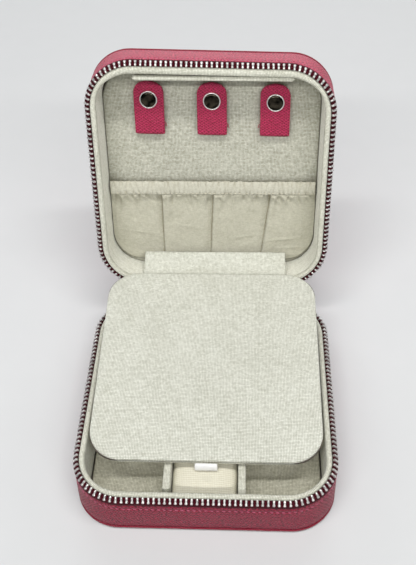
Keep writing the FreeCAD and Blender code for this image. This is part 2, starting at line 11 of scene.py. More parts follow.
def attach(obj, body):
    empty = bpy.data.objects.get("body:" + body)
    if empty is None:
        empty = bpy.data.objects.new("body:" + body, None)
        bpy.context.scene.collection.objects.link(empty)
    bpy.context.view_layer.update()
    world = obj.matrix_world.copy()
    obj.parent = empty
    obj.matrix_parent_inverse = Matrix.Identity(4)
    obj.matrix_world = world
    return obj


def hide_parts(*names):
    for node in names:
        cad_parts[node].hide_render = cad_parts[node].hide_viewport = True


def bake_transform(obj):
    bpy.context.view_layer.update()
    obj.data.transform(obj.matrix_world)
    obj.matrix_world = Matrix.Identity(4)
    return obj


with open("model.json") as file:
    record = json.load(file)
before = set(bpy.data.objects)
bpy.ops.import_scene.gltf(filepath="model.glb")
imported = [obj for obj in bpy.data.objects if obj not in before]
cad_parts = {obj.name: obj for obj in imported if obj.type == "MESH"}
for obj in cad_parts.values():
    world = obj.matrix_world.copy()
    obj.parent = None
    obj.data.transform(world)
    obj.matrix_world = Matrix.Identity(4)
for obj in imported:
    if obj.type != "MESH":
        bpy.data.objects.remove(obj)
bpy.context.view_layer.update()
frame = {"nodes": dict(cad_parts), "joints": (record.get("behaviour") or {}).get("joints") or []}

MM = 0.001
random.seed(11)
JOINTS = {j["name"]: j for j in frame["joints"]}
HINGE = [1000 * c for c in JOINTS["lid_hinge"]["pos_m"]]
OPEN = -JOINTS["lid_hinge"]["range_deg"][0]
# closed-case coordinates (mm) to the opened lid
LID = Matrix.Translation((0, HINGE[1], HINGE[2])) @ Matrix.Rotation(math.radians(-OPEN), 4, "X") @ Matrix.Translation((0, -HINGE[1], -HINGE[2]))
# the cover panel's own frame: origin at its lower back edge, +Z out of its top
PANEL = Matrix.Translation((0, 63.2, 32.5)) @ Matrix.Rotation(math.radians(6.0), 4, "X")
EYE = Matrix.Identity(4)


# ------------------------------------------------------------------ node materials
class Net:
    def __init__(self, name):
        self.mat = bpy.data.materials.new(name)
        self.mat.use_nodes = True
        self.t = self.mat.node_tree
        self.t.nodes.clear()
        self.out = self.t.nodes.new("ShaderNodeOutputMaterial")
        self.bsdf = self.t.nodes.new("ShaderNodeBsdfPrincipled")
        self.t.links.new(self.bsdf.outputs[0], self.out.inputs[0])

    def put(self, socket, value):
        if isinstance(value, bpy.types.NodeSocket):
            self.t.links.new(value, socket)
        elif isinstance(value, (tuple, list)) and len(value) == 3 and socket.type == "RGBA":
            socket.default_value = (*value, 1)
        else:
            socket.default_value = value

    def node(self, kind, out=0, **inputs):
        n = self.t.nodes.new(kind)
        for k, v in inputs.items():
            if k.startswith("_"):
                setattr(n, k[1:], v)
            else:
                self.put(n.inputs[k.replace("__", " ")], v)
        return n.outputs[out]

    def m(self, op, *args):
        n = self.t.nodes.new("ShaderNodeMath")
        n.operation = op
        for i, a in enumerate(args):
            self.put(n.inputs[i], a)
        return n.outputs[0]

    def uv(self):
        return self.node("ShaderNodeTexCoord", out=2)

    def obj(self):
        return self.node("ShaderNodeTexCoord", out=3)

    def scale(self, vec, x, y, z=1.0):
        n = self.t.nodes.new("ShaderNodeMapping")
        self.put(n.inputs["Vector"], vec)
        n.inputs["Scale"].default_value = (x, y, z)
        return n.outputs[0]

    def turn(self, vec, deg):
        n = self.t.nodes.new("ShaderNodeMapping")
        self.put(n.inputs["Vector"], vec)
        n.inputs["Rotation"].default_value = (0, 0, math.radians(deg))
        return n.outputs[0]

    def noise(self, vec, scale=1.0, detail=2.0, rough=0.5):
        n = self.t.nodes.new("ShaderNodeTexNoise")
        self.put(n.inputs["Vector"], vec)
        n.inputs["Scale"].default_value = scale
        n.inputs["Detail"].default_value = detail
        n.inputs["Roughness"].default_value = rough
        return n.outputs["Fac"]

    def mix(self, fac, a, b):
        n = self.t.nodes.new("ShaderNodeMix")
        n.data_type = "RGBA"
        self.put(n.inputs["Factor"], fac)
        self.put(n.inputs[6], a)
        self.put(n.inputs[7], b)
        return n.outputs[2]

    def ramp(self, value, lo, hi):
        n = self.t.nodes.new("ShaderNodeMapRange")
        self.put(n.inputs[0], value)
        n.inputs[1].default_value = lo
        n.inputs[2].default_value = hi
        n.clamp = True
        return n.outputs[0]

    def bump(self, height, strength, dist):
        n = self.t.nodes.new("ShaderNodeBump")
        self.put(n.inputs["Height"], height)
        n.inputs["Strength"].default_value = strength
        n.inputs["Distance"].default_value = dist
        self.t.links.new(n.outputs[0], self.bsdf.inputs["Normal"])

    def set(self, **kw):
        for k, v in kw.items():
            self.put(self.bsdf.inputs[k.replace("__", " ")], v)
        return self.mat


def srgb(r, g, b):
    f = lambda c: (c / 255 / 12.92) if c / 255 <= 0.04045 else ((c / 255 + 0.055) / 1.055) ** 2.4
    return (f(r), f(g), f(b))


def split(net, vec):
    n = net.t.nodes.new("ShaderNodeSeparateXYZ")
    net.put(n.inputs[0], vec)
    return n.outputs[0], n.outputs[1]


def cloth(name, light, dark, pitch=0.8, slub=0.62, rough=0.92, depth=0.00010, fleck=0.5, sheen=0.2, cavity=False, weave=0.34, rows=0.6, painted_crevice_shade=None):
    """Plain weave: threads over and under at `pitch` mm; every thread has its own tone that drifts along its length."""
    n = Net(name)
    vec = n.uv()
    wob = n.noise(n.scale(vec, 0.12, 0.12), 1.0, 2.0)
    u, v = split(n, vec)
    u = n.m("ADD", u, n.m("MULTIPLY", wob, 0.9))
    v = n.m("ADD", v, n.m("MULTIPLY", wob, 0.8))
    k = math.pi / pitch
    su, sv = n.m("SINE", n.m("MULTIPLY", u, k)), n.m("SINE", n.m("MULTIPLY", v, k))
    cu, cv = n.m("ABSOLUTE", su), n.m("ABSOLUTE", sv)
    par = n.m("MULTIPLY", n.m("COSINE", n.m("MULTIPLY", u, k)), n.m("COSINE", n.m("MULTIPLY", v, k)))
    uq, vq = n.m("FLOOR", n.m("DIVIDE", u, pitch)), n.m("FLOOR", n.m("DIVIDE", v, pitch))
    odd = n.m("ABSOLUTE", n.m("MODULO", n.m("ADD", n.m("ADD", uq, vq), 1000.0), 2.0))
    height = n.m("ADD", n.m("MULTIPLY", odd, n.m("MULTIPLY", cv, n.m("ADD", 0.45, n.m("MULTIPLY", cu, 0.55)))),
                 n.m("MULTIPLY", n.m("SUBTRACT", 1.0, odd), n.m("MULTIPLY", cu, n.m("ADD", 0.45, n.m("MULTIPLY", cv, 0.55)))))

    def thread(q, along, length, seed):
        c = n.t.nodes.new("ShaderNodeCombineXYZ")
        n.put(c.inputs[0], n.m("MULTIPLY", along, 1.0 / length))
        n.put(c.inputs[1], n.m("MULTIPLY", q, 7.31))
        c.inputs[2].default_value = seed
        return n.noise(c.outputs[0], 1.0, 2.0, 0.6)

    weft = thread(vq, u, 1.7, 1.3)
    warp = thread(uq, v, 1.7, 8.9)
    tone = n.m("ADD", n.m("MULTIPLY", n.ramp(weft, 0.34, 0.70), rows), n.m("MULTIPLY", n.ramp(warp, 0.34, 0.70), 1.0 - rows))
    spots = n.noise(n.scale(vec, 1.1, 1.1), 1.0, 3.0, 0.75)
    patch = n.noise(n.scale(vec, 0.05, 0.05), 1.0, 2.0)
    fac = n.m("ADD", n.m("MULTIPLY", tone, slub), n.m("MULTIPLY", n.ramp(spots, 0.45, 0.72), fleck * 0.35))
    fac = n.m("ADD", fac, n.m("MULTIPLY", n.m("SUBTRACT", 1.0, height), weave))
    fac = n.m("ADD", fac, n.m("MULTIPLY", n.ramp(patch, 0.35, 0.7), 0.07))
    color = n.mix(n.ramp(fac, 0.10, 1.15), light, dark)
    # painted crease shade: the point attribute darkens the colour towards ochre in the cloth's creases and pucker dips,
    # where shade falls
    if cavity:
        at = n.t.nodes.new("ShaderNodeAttribute")
        at.attribute_name = "cavity"
        color = n.mix(n.ramp(at.outputs["Fac"], 0.0, 1.0), color, (dark[0] * 0.66, dark[1] * 0.58, dark[2] * 0.40))
    # painted crevice shade: an ambient-occlusion node darkens the colour near close geometry, standing in for the shade
    # under the ledge, the walls and the panel edge
    if painted_crevice_shade:
        ao = n.t.nodes.new("ShaderNodeAmbientOcclusion")
        ao.samples = 12
        ao.inputs["Distance"].default_value = painted_crevice_shade[0]
        ao_shade = n.m("MULTIPLY", n.m("SUBTRACT", 1.0, n.ramp(ao.outputs["AO"], painted_crevice_shade[1], painted_crevice_shade[2])), painted_crevice_shade[3])
        color = n.mix(ao_shade, color, (dark[0] * 0.5, dark[1] * 0.46, dark[2] * 0.36))
    n.bump(n.m("ADD", height, n.m("MULTIPLY", tone, -0.5)), 0.6, depth)
    return n.set(Base__Color=color, Roughness=rough, Sheen__Weight=sheen, Sheen__Roughness=0.5, Specular__IOR__Level=0.2)


def leather(name, light, dark, pitch=1.05, rough=0.42, depth=0.00022, crisp=1.5, speck=0.3, line=0.55):
    """Cross-grain leather: two crossing sets of short ridges pressed into the skin, with a satin finish."""
    n = Net(name)
    vec = n.uv()
    wob = n.noise(n.scale(vec, 0.55, 0.55), 1.0, 3.0)
    u, v = split(n, n.turn(vec, 32))
    a = n.m("SINE", n.m("MULTIPLY", n.m("ADD", u, n.m("MULTIPLY", wob, 1.1)), 2 * math.pi / pitch))
    u2, v2 = split(n, n.turn(vec, -34))
    b = n.m("SINE", n.m("MULTIPLY", n.m("ADD", u2, n.m("MULTIPLY", wob, 0.9)), 2 * math.pi / (pitch * 0.94)))
    broken = n.ramp(n.noise(n.scale(vec, 0.9, 0.9), 1.0, 2.0, 0.6), 0.36, 0.58)
    ridge = n.m("POWER", n.m("MAXIMUM", n.m("MULTIPLY", n.ramp(a, -0.35, 1.0), n.m("ADD", 0.5, n.m("MULTIPLY", broken, 0.5))), n.m("MULTIPLY", n.ramp(b, -0.35, 1.0), n.m("SUBTRACT", 1.0, n.m("MULTIPLY", broken, 0.35)))), crisp)
    pore = n.noise(n.scale(vec, 2.6, 2.6), 1.0, 3.0, 0.6)
    patch = n.noise(n.scale(vec, 0.07, 0.07), 1.0, 3.0)
    h = n.m("ADD", n.m("MULTIPLY", ridge, 0.75), n.m("MULTIPLY", pore, 0.5))
    # the ridges are coloured lighter: partly the grain's own tone, partly a painted highlight on the ridge tops; `line`
    # sets how strong
    fac = n.m("ADD", n.m("MULTIPLY", ridge, line), n.m("ADD", n.m("MULTIPLY", n.ramp(pore, 0.36, 0.66), 0.2), n.m("MULTIPLY", n.ramp(patch, 0.3, 0.7), 0.08)))
    mottle = n.noise(n.scale(vec, 0.95, 1.2), 1.0, 3.0, 0.7)
    fac = n.m("ADD", fac, n.m("MULTIPLY", n.m("SUBTRACT", n.ramp(mottle, 0.36, 0.64), 0.35), speck))
    n.bump(h, 0.9, depth)
    r = n.m("SUBTRACT", rough + 0.1, n.m("MULTIPLY", ridge, 0.16))
    return n.set(Base__Color=n.mix(fac, dark, light), Roughness=r, Specular__IOR__Level=0.42, Coat__Weight=0.06, Coat__Roughness=0.35)


def metal(name, color, rough=0.2, wear=0.12, dark=None, scale=(140.0, 0.35, 0.7)):
    n = Net(name)
    vec = n.obj()
    s = n.noise(vec, 900.0, 3.0)
    g = n.noise(vec, scale[0], 2.0)
    c2 = dark or tuple(c * 0.72 for c in color)
    n.bump(s, 0.12, 0.00004)
    return n.set(Base__Color=n.mix(n.ramp(g, scale[1], scale[2]), color, c2), Metallic=1.0,
                 Roughness=n.m("ADD", rough, n.m("MULTIPLY", s, wear)))


def ribbed(name, light, dark, pitch, rough=0.85, depth=0.00008, cross=0.35, sheen=0.2):
    """Ribs across V, such as tape, ribbon or fine corded cloth."""
    n = Net(name)
    vec = n.uv()
    u, v = split(n, vec)
    rib = n.m("MULTIPLY", n.m("ADD", n.m("SINE", n.m("MULTIPLY", v, 2 * math.pi / pitch)), 1.0), 0.5)
    fine = n.m("MULTIPLY", n.m("ADD", n.m("SINE", n.m("MULTIPLY", u, 2 * math.pi / (pitch * 0.8))), 1.0), 0.5)
    grain = n.noise(n.scale(vec, 0.5, 2.2), 1.0, 3.0, 0.6)
    fac = n.m("ADD", n.m("MULTIPLY", rib, 0.45), n.m("ADD", n.m("MULTIPLY", fine, cross * 0.5), n.m("MULTIPLY", n.ramp(grain, 0.3, 0.7), 0.4)))
    n.bump(n.m("ADD", rib, n.m("MULTIPLY", fine, cross)), 0.5, depth)
    return n.set(Base__Color=n.mix(fac, dark, light), Roughness=rough, Sheen__Weight=sheen, Specular__IOR__Level=0.2)


def thread_mat(name, light, dark):
    n = Net(name)
    vec = n.uv()
    u, v = split(n, vec)
    tw = n.m("SINE", n.m("MULTIPLY", n.m("ADD", u, v), 9.0))
    n.bump(tw, 0.5, 0.00005)
    return n.set(Base__Color=n.mix(n.ramp(tw, -1, 1), dark, light), Roughness=0.6, Sheen__Weight=0.3)


def board(name, light, dark):
    n = Net(name)
    vec = n.obj()
    s = n.noise(vec, 420.0, 4.0, 0.7)
    n.bump(s, 0.4, 0.00008)
    return n.set(Base__Color=n.mix(n.ramp(s, 0.3, 0.7), light, dark), Roughness=0.9)


LINEN = cloth("linen", srgb(243, 243, 231), srgb(130, 129, 106), pitch=0.64, slub=0.40, fleck=0.14, weave=0.85)
# painted shade: a darker copy of the linen for the lid's back pad, with painted crevice shade
LINEN_BACK_SHADED = cloth("linen_back_painted_shade", srgb(225, 225, 212), srgb(110, 108, 88), pitch=0.66, slub=0.46, fleck=0.14, weave=0.85, painted_crevice_shade=(0.009, 0.25, 0.64, 0.65))
# painted light and shade: a brighter copy of the linen for the compartment floor, with a warm olive dark tone for its
# shade and painted crevice shade
LINEN_FLOOR_SHADED = cloth("linen_floor_painted_shade", srgb(248, 246, 230), srgb(132, 127, 96), pitch=0.64, slub=0.42, fleck=0.14, weave=0.85, painted_crevice_shade=(0.016, 0.08, 0.36, 0.75))
# painted light: a brighter copy of the linen for the lid's walls
LINEN_WALL_LIT = cloth("linen_wall_painted_light", srgb(255, 255, 247), srgb(182, 181, 160), pitch=0.64, slub=0.40, fleck=0.14, weave=0.85)
LINEN_PANEL = cloth("linen_panel", srgb(243, 244, 235), srgb(140, 140, 120), pitch=0.66, slub=0.38, fleck=0.14, weave=0.85)
POCKET = cloth("pocket_cloth", srgb(202, 200, 184), srgb(124, 120, 96), pitch=0.5, slub=0.34, fleck=0.16, depth=0.00007, cavity=True, weave=0.5)
HEADER = cloth("pocket_header_cloth", srgb(213, 211, 197), srgb(131, 127, 103), pitch=0.5, slub=0.34, fleck=0.16, depth=0.00007, cavity=True, weave=0.5)
PILLOW = ribbed("pillow_cloth", srgb(231, 228, 211), srgb(205, 199, 177), 0.95, cross=0.6)
LEATHER = leather("leather_pink", srgb(178, 37, 71), srgb(82, 3, 26), pitch=1.25, depth=0.0006, speck=1.1, line=0.3, crisp=1.2)
# painted light: a lighter, redder copy of the pink leather for the lid's skin, whose top is lit from above
LEATHER_LID_LIT = leather("leather_pink_lid_painted_light", srgb(226, 50, 96), srgb(122, 6, 42), pitch=1.25, depth=0.00045, speck=0.9, line=0.3, crisp=1.2)
STRAP = leather("leather_strap", srgb(216, 50, 104), srgb(104, 3, 29), pitch=1.15, depth=0.0006, crisp=1.7, speck=0.3, line=0.75)
EDGE = leather("leather_edge", srgb(150, 14, 50), srgb(112, 6, 34), pitch=0.8, rough=0.35)
TAPE = ribbed("zip_tape", srgb(80, 2, 21), srgb(22, 1, 6), 0.55, rough=0.85, sheen=0.05)
METAL = metal("zip_metal", (0.77, 0.76, 0.74), 0.26)
STEEL = metal("snap_metal", (0.97, 0.97, 0.95), 0.3)
# painted reflection: the cap's brown mottle stands for reflections of its surroundings
BLACK_MOTTLED_REFLECTION = metal("snap_cap", (0.052, 0.044, 0.032), 0.06, 0.06, dark=(0.004, 0.004, 0.003), scale=(330.0, 0.44, 0.60))
THREAD = thread_mat("stitch_thread", srgb(214, 104, 138), srgb(150, 36, 74))
THREAD_PALE = thread_mat("stitch_thread_pale", srgb(236, 232, 214), srgb(196, 190, 166))
RIBBON = ribbed("ribbon", srgb(246, 246, 246), srgb(222, 222, 220), 0.5, rough=0.38, cross=0.15, sheen=0.5)
ELASTIC = ribbed("elastic", srgb(235, 232, 222), srgb(205, 200, 188), 0.6)
BOARD = board("greyboard", (0.12, 0.10, 0.08), (0.06, 0.05, 0.04))


# ------------------------------------------------------------------ mesh helpers
def smooth(t):
    t = min(max(t, 0.0), 1.0)
    return t * t * (3 - 2 * t)


def settle(x, y, z):
    """The soft lid has settled slightly out of square: its front edge leans a little down to the right (closed coordinates)."""
    w = smooth((12.0 - y) / 47.0)
    return (x, y + w * (0.027 * x - 0.5 * math.exp(-((y + 35.0) / 13.0) ** 2)), z)


def make(name, verts, faces, mat, body=None, M=EYE, uv=None, replaces=(), slot=None, smooth=True, sharp=None):
    """verts in mm, uv one (u, v) in mm per face corner."""
    me = bpy.data.meshes.new(name)
    if M is LID:
        verts = [settle(*v) for v in verts]
    pts = [M @ Vector(v) for v in verts]
    me.from_pydata([(p.x * MM, p.y * MM, p.z * MM) for p in pts], [], faces)
    if uv is not None:
        layer = me.uv_layers.new(name="UVMap")
        layer.data.foreach_set("uv", [c for pair in uv for c in pair])
    me.materials.append(mat)
    me.validate()
    bm = bmesh.new()
    bm.from_mesh(me)
    bmesh.ops.recalc_face_normals(bm, faces=bm.faces)
    bm.to_mesh(me)
    bm.free()
    for p in me.polygons:
        p.use_smooth = smooth
    if sharp:
        me.set_sharp_from_angle(angle=math.radians(sharp))
    ob = bpy.data.objects.new(name, me)
    bpy.context.scene.collection.objects.link(ob)
    if body:
        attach(ob, body)
    if replaces:
        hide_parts(*replaces)
    return ob


def grid(rows, closed_u=False, closed_v=False, us=None, vs=None, caps=False):
    """Vertices, faces and per-corner UVs of a grid of points rows[i][j]."""
    nu, nv = len(rows), len(rows[0])
    verts = [tuple(p) for row in rows for p in row]
    if us is None:
        us, d = [0.0], 0.0
        mid = nv // 2
        for i in range(nu):
            a, b = Vector(rows[i][mid]), Vector(rows[(i + 1) % nu][mid])
            d += (b - a).length
            us.append(d)
    if vs is None:
        vs, d = [0.0], 0.0
        mid = nu // 2
        for j in range(nv):
            a, b = Vector(rows[mid][j]), Vector(rows[mid][(j + 1) % nv])
            d += (b - a).length
            vs.append(d)
    faces, uv = [], []
    for i in range(nu if closed_u else nu - 1):
        for j in range(nv if closed_v else nv - 1):
            a, b = i * nv + j, ((i + 1) % nu) * nv + j
            c, d = ((i + 1) % nu) * nv + (j + 1) % nv, i * nv + (j + 1) % nv
            faces.append((a, b, c, d))
            uv += [(us[i], vs[j]), (us[i + 1], vs[j]), (us[i + 1], vs[j + 1]), (us[i], vs[j + 1])]
    if caps:
        if closed_v and not closed_u:
            for i, rev in ((0, False), (nu - 1, True)):
                f = [i * nv + j for j in range(nv)]
                f = f[::-1] if rev else f
                faces.append(tuple(f))
                o = rows[i][0]
                uv += [((verts[k][0] + verts[k][1]), verts[k][2]) for k in f]
        if closed_u and not closed_v:
            for j, rev in ((0, True), (nv - 1, False)):
                f = [i * nv + j for i in range(nu)]
                f = f[::-1] if rev else f
                faces.append(tuple(f))
                uv += [(verts[k][0], verts[k][1]) for k in f]
    return verts, faces, uv


NS, NA = 14, 16


def loop(half, rad, z=0.0, half_y=None, ns=NS, na=NA, cy=0.0):
    """Rounded rectangle, counter-clockwise seen from +Z, starting at the middle of the back."""
    hy = half if half_y is None else half_y
    rad = max(rad, 0.5)
    pts = []
    corners = [(-(half - rad), hy - rad, 90), (-(half - rad), -(hy - rad), 180), (half - rad, -(hy - rad), 270), (half - rad, hy - rad, 0)]
    start = (0.0, hy)
    prev = start
    for k, (cx, cyy, a0) in enumerate(corners):
        a = math.radians(a0)
        first = (cx + rad * math.cos(a), cyy + rad * math.sin(a))
        n = ns // 2 if k == 0 else ns
        for i in range(n):
            f = i / n
            pts.append((prev[0] + (first[0] - prev[0]) * f, prev[1] + (first[1] - prev[1]) * f))
        for i in range(na):
            b = a + math.pi / 2 * i / na
            pts.append((cx + rad * math.cos(b), cyy + rad * math.sin(b)))
        b = a + math.pi / 2
        prev = (cx + rad * math.cos(b), cyy + rad * math.sin(b))
    n = ns // 2
    for i in range(n):
        f = i / n
        pts.append((prev[0] + (start[0] - prev[0]) * f, prev[1] + (start[1] - prev[1]) * f))
    return [(x, y + cy, z) for x, y in pts]


def outer_rad(half):
    return max(half - 34.4, 1.0)


def skin_rad(half, z):
    """The leather's corners are tighter at the flat cover than at the zip."""
    return outer_rad(half) - 2.8 * smooth((16.5 - z) / 13.5)


def inner_rad(half):
    return 17.0 + (half - 52.3) * 3.6 / 2.7


def sweep(name, profile, mat, body, M=EYE, closed=True, caps=False, mirror=False, **kw):
    """profile: (half, radius, z) rings. Surface through successive rounded loops."""
    rings = [loop(h, r, (2 * HINGE[2] - z) if mirror else z) for h, r, z in profile]
    rows = [[ring[i] for ring in rings] for i in range(len(rings[0]))]
    v, f, uv = grid(rows, closed_u=True, closed_v=closed, caps=caps)
    return make(name, v, f, mat, body, M, uv, **kw)


def arc(cx, cy, r, a0, a1, n):
    return [(cx + r * math.cos(math.radians(a0 + (a1 - a0) * i / n)), cy + r * math.sin(math.radians(a0 + (a1 - a0) * i / n))) for i in range(n + 1)]


# ------------------------------------------------------------------ leather shells
def leather_shell(name, body, M, mirror, bottom, mat, replaces):
    """One skin: inner face, rolled edge at the zip, pressed seam line, wall, turned edge and flat bottom."""
    wall = [(50.0, bottom + 1.4), (55.6, bottom + 1.4), (56.25, bottom + 2.0), (56.3, 10.0), (56.3, 19.0), (56.34, 19.7), (56.6, 20.1), (56.95, 20.2), (57.3, 20.08), (57.52, 19.7),
            (57.58, 19.3), (57.56, 18.7), (57.48, 18.1), (57.34, 17.8), (57.28, 17.6), (57.34, 17.4), (57.48, 17.1), (57.6, 16.2),
            (57.66, 13.0), (57.66, 10.0), (57.62, 6.0 + bottom / 2), (57.55, bottom + 3.6), (57.4, bottom + 2.6), (57.2, bottom + 1.9), (56.85, bottom + 1.25), (56.2, bottom + 0.7), (55.2, bottom + 0.3), (53.8, bottom + 0.08), (51, bottom), (46, bottom)]
    return sweep(name, [(h, skin_rad(h, z), z) for h, z in wall], mat, body, M, closed=False, caps=True, mirror=mirror, replaces=replaces, slot="leather_pink")


def tube_loop(name, half, z, r, mat, body, M, mirror, n=10, **kw):
    prof = [(half + r * math.cos(2 * math.pi * k / n), z + r * math.sin(2 * math.pi * k / n)) for k in range(n)]
    return sweep(name, [(h, skin_rad(h, zz), zz) for h, zz in prof], mat, body, M, closed=True, mirror=mirror, **kw)


def stitches(name, half, z, pitch, length, r, mat, body, M, mirror, slope=0.0, out=0.0, slot=None):
    """Thread dashes along the wall as small capsules, all in one mesh."""
    ring = loop(half, outer_rad(half), z, ns=80, na=60)
    n = len(ring)
    cum = [0.0]
    for i in range(n):
        a, b = Vector(ring[i]), Vector(ring[(i + 1) % n])
        cum.append(cum[-1] + (b - a).length)
    total = cum[-1]
    count = int(round(total / pitch))
    step = total / count
    verts, faces, uvs = [], [], []
    i = 0
    for k in range(count):
        d = (k + 0.5) * step
        while cum[i + 1] < d:
            i += 1
        a, b = Vector(ring[i % n]), Vector(ring[(i + 1) % n])
        t = (b - a).normalized()
        p = a + t * (d - cum[i])
        nrm = Vector((-t.y, t.x, 0)) * -1
        side = t.cross(nrm)
        tt = (t + side * slope).normalized()
        sd = tt.cross(nrm)
        base = len(verts)
        secs = [(-0.5, 0.25), (-0.42, 0.8), (-0.2, 1.0), (0.2, 1.0), (0.42, 0.8), (0.5, 0.25)]
        for s, w in secs:
            lift = out - 0.35 * r * (abs(s) * 2) ** 2
            for q in range(6):
                an = 2 * math.pi * q / 6
                v = p + tt * (s * length) + sd * (math.cos(an) * r * w) + nrm * (math.sin(an) * r * w + lift)
                z2 = 2 * HINGE[2] - v.z if mirror else v.z
                verts.append((v.x, v.y, z2))
        for s in range(5):
            for q in range(6):
                a0, b0 = base + s * 6 + q, base + s * 6 + (q + 1) % 6
                faces.append((a0, b0, b0 + 6, a0 + 6))
                uvs += [(s, q), (s, q + 1), (s + 1, q + 1), (s + 1, q)]
        faces.append(tuple(base + q for q in range(6))[::-1])
        uvs += [(0, q) for q in range(6)]
        faces.append(tuple(base + 30 + q for q in range(6)))
        uvs += [(5, q) for q in range(6)]
    return make(name, verts, faces, mat, body, M, uvs, slot=slot)


leather_shell("base_leather_skin", "base", EYE, False, 0.0, LEATHER, ("base_leather_wall", "base_bottom_cover"))
leather_shell("lid_leather_skin", "lid", LID, True, 1.1, LEATHER_LID_LIT, ("lid_leather_wall", "lid_top_cover"))
tube_loop("base_edge_piping", 57.12, 1.05, 0.62, EDGE, "base", EYE, False, slot="leather_pink")
tube_loop("lid_edge_piping", 57.12, 2.15, 0.62, EDGE, "lid", LID, True, slot="leather_pink")
stitches("base_stitching", 57.4, 17.6, 2.5, 1.4, 0.22, THREAD, "base", EYE, False, slope=0.34, out=0.12, slot="leather_pink")
stitches("lid_stitching", 57.4, 17.6, 2.5, 1.4, 0.22, THREAD, "lid", LID, True, slope=0.34, out=0.12, slot="leather_pink")

# ------------------------------------------------------------------ linen rims and walls


def rim(name, body, M, mirror, full=0.0, slot="linen"):
    """Rolled linen edge; `full` pads it out inwards along the opening side."""
    prof = [(52.32, 20.4)] + [(53.64 + 1.32 * math.cos(math.radians(a)), 22.75 + 1.38 * math.sin(math.radians(a))) for a in range(180, -1, -15)] + [(54.96, 20.4)]
    rings = []
    for h, z in prof:
        k = full * (54.96 - h) / 2.64
        rings.append([(x, y + k * smooth((-y - 44.0) / 7.0), zz) for x, y, zz in loop(h, inner_rad(h), (2 * HINGE[2] - z) if mirror else z)])
    rows = [[ring[i] for ring in rings] for i in range(len(rings[0]))]
    v, f, uv = grid(rows, closed_u=True, closed_v=True)
    return make(name, v, f, LINEN, body, M, uv, slot=slot)


def wall(name, z0, z1, body, M, mirror, lean=0.35, mat=None):
    """The padded linen-covered wall, one strip all the way round."""
    prof = []
    for k in range(9):
        f = k / 8
        prof.append((52.30 - lean * (1 - f) - 0.12 * math.sin(math.pi * f), z0 + (z1 - z0) * f))
    prof += [(53.9, z1), (53.9, z0)]
    return sweep(name, [(h, 17.0 + (h - 52.3), z) for h, z in prof], mat or LINEN, body, M, closed=True, mirror=mirror, slot="linen", sharp=40)


r0 = rim("base_rim", "base", EYE, False)
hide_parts("base_wall_lining")
wall("base_wall_cloth", 4.6, 21.6, "base", EYE, False)
r1 = rim("lid_rim", "lid", LID, True, full=0.75)
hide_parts("lid_wall_lining")
wall("lid_wall_cloth", 6.0, 21.6, "lid", LID, True, mat=LINEN_WALL_LIT)


def pad_slab(name, half, rad, z0, z1, mat, body, M=EYE, half_y=None, cy=0.0, round_=0.6, crown=0.0, replaces=(), slot=None, flip=False, lower_round=None, steps=10, wav=0.0, seed=0):
    """Padded board: rounded edges, a crowned top made of concentric loops, flat underneath."""
    hy = half if half_y is None else half_y
    lr = round_ if lower_round is None else lower_round
    prof = []
    inner = [(k / steps) for k in range(1, steps + 1)]
    for a in range(-90, 1, 18):
        prof.append((-lr + lr * math.cos(math.radians(a)), z0 + lr + lr * math.sin(math.radians(a))))
    for a in range(0, 91, 15):
        prof.append((-round_ + round_ * math.cos(math.radians(a)), z1 - round_ + round_ * math.sin(math.radians(a))))
    rings = []
    for o, z in prof:
        rings.append(loop(half + o, max(rad + o, 0.6), z, hy + o, cy=cy))
    rmax = min(half, hy)
    for f in inner[:-1]:
        o = -round_ - (rmax - round_ - 1.5) * f ** 1.2
        zz = z1 + crown * (1 - (1 - f ** 0.8) ** 2)
        ring = loop(half + o, max(rad + o, 0.8 + (half + o) * 0.05), zz, hy + o, cy=cy)
        if wav:
            ring = [(x, y, z + wav * noise.noise(Vector((x * 0.05 + seed, y * 0.05, 0.3)))) for x, y, z in ring]
        rings.append(ring)
    rows = [[ring[i] for ring in rings] for i in range(len(rings[0]))]
    nv = len(rings)
    verts = [p for row in rows for p in row]
    faces, uv = [], []
    nu = len(rows)
    per = [0.0]
    for i in range(nu):
        per.append(per[-1] + (Vector(rings[8][(i + 1) % nu]) - Vector(rings[8][i])).length)
    for i in range(nu):
        for j in range(nv - 1):
            q = [i * nv + j, ((i + 1) % nu) * nv + j, ((i + 1) % nu) * nv + j + 1, i * nv + j + 1]
            faces.append(tuple(q))
            uv += [(verts[k][0], verts[k][1] - (0.6 if verts[k][2] < z1 - round_ else 0)) for k in q]
    for j, rev in ((0, True), (nv - 1, False)):
        q = [i * nv + j for i in range(nu)]
        q = q[::-1] if rev else q
        faces.append(tuple(q))
        uv += [(verts[k][0], verts[k][1]) for k in q]
    return make(name, verts, faces, mat, body, M, uv, replaces=replaces, slot=slot)


pad_slab("base_floor_cloth", 51.35, 16.0, 3.8, 5.3, LINEN_FLOOR_SHADED, "base", replaces=("base_floor_pad",), slot="linen", round_=0.7, crown=0.1)
pad_slab("lid_back_cloth", 51.82, 16.5, -50.5, -48.95, LINEN_BACK_SHADED, "lid", LID @ Matrix.Rotation(math.pi, 4, "X"), replaces=("lid_back_panel",), slot="linen", round_=0.7, crown=0.15)

# ------------------------------------------------------------------ base contents


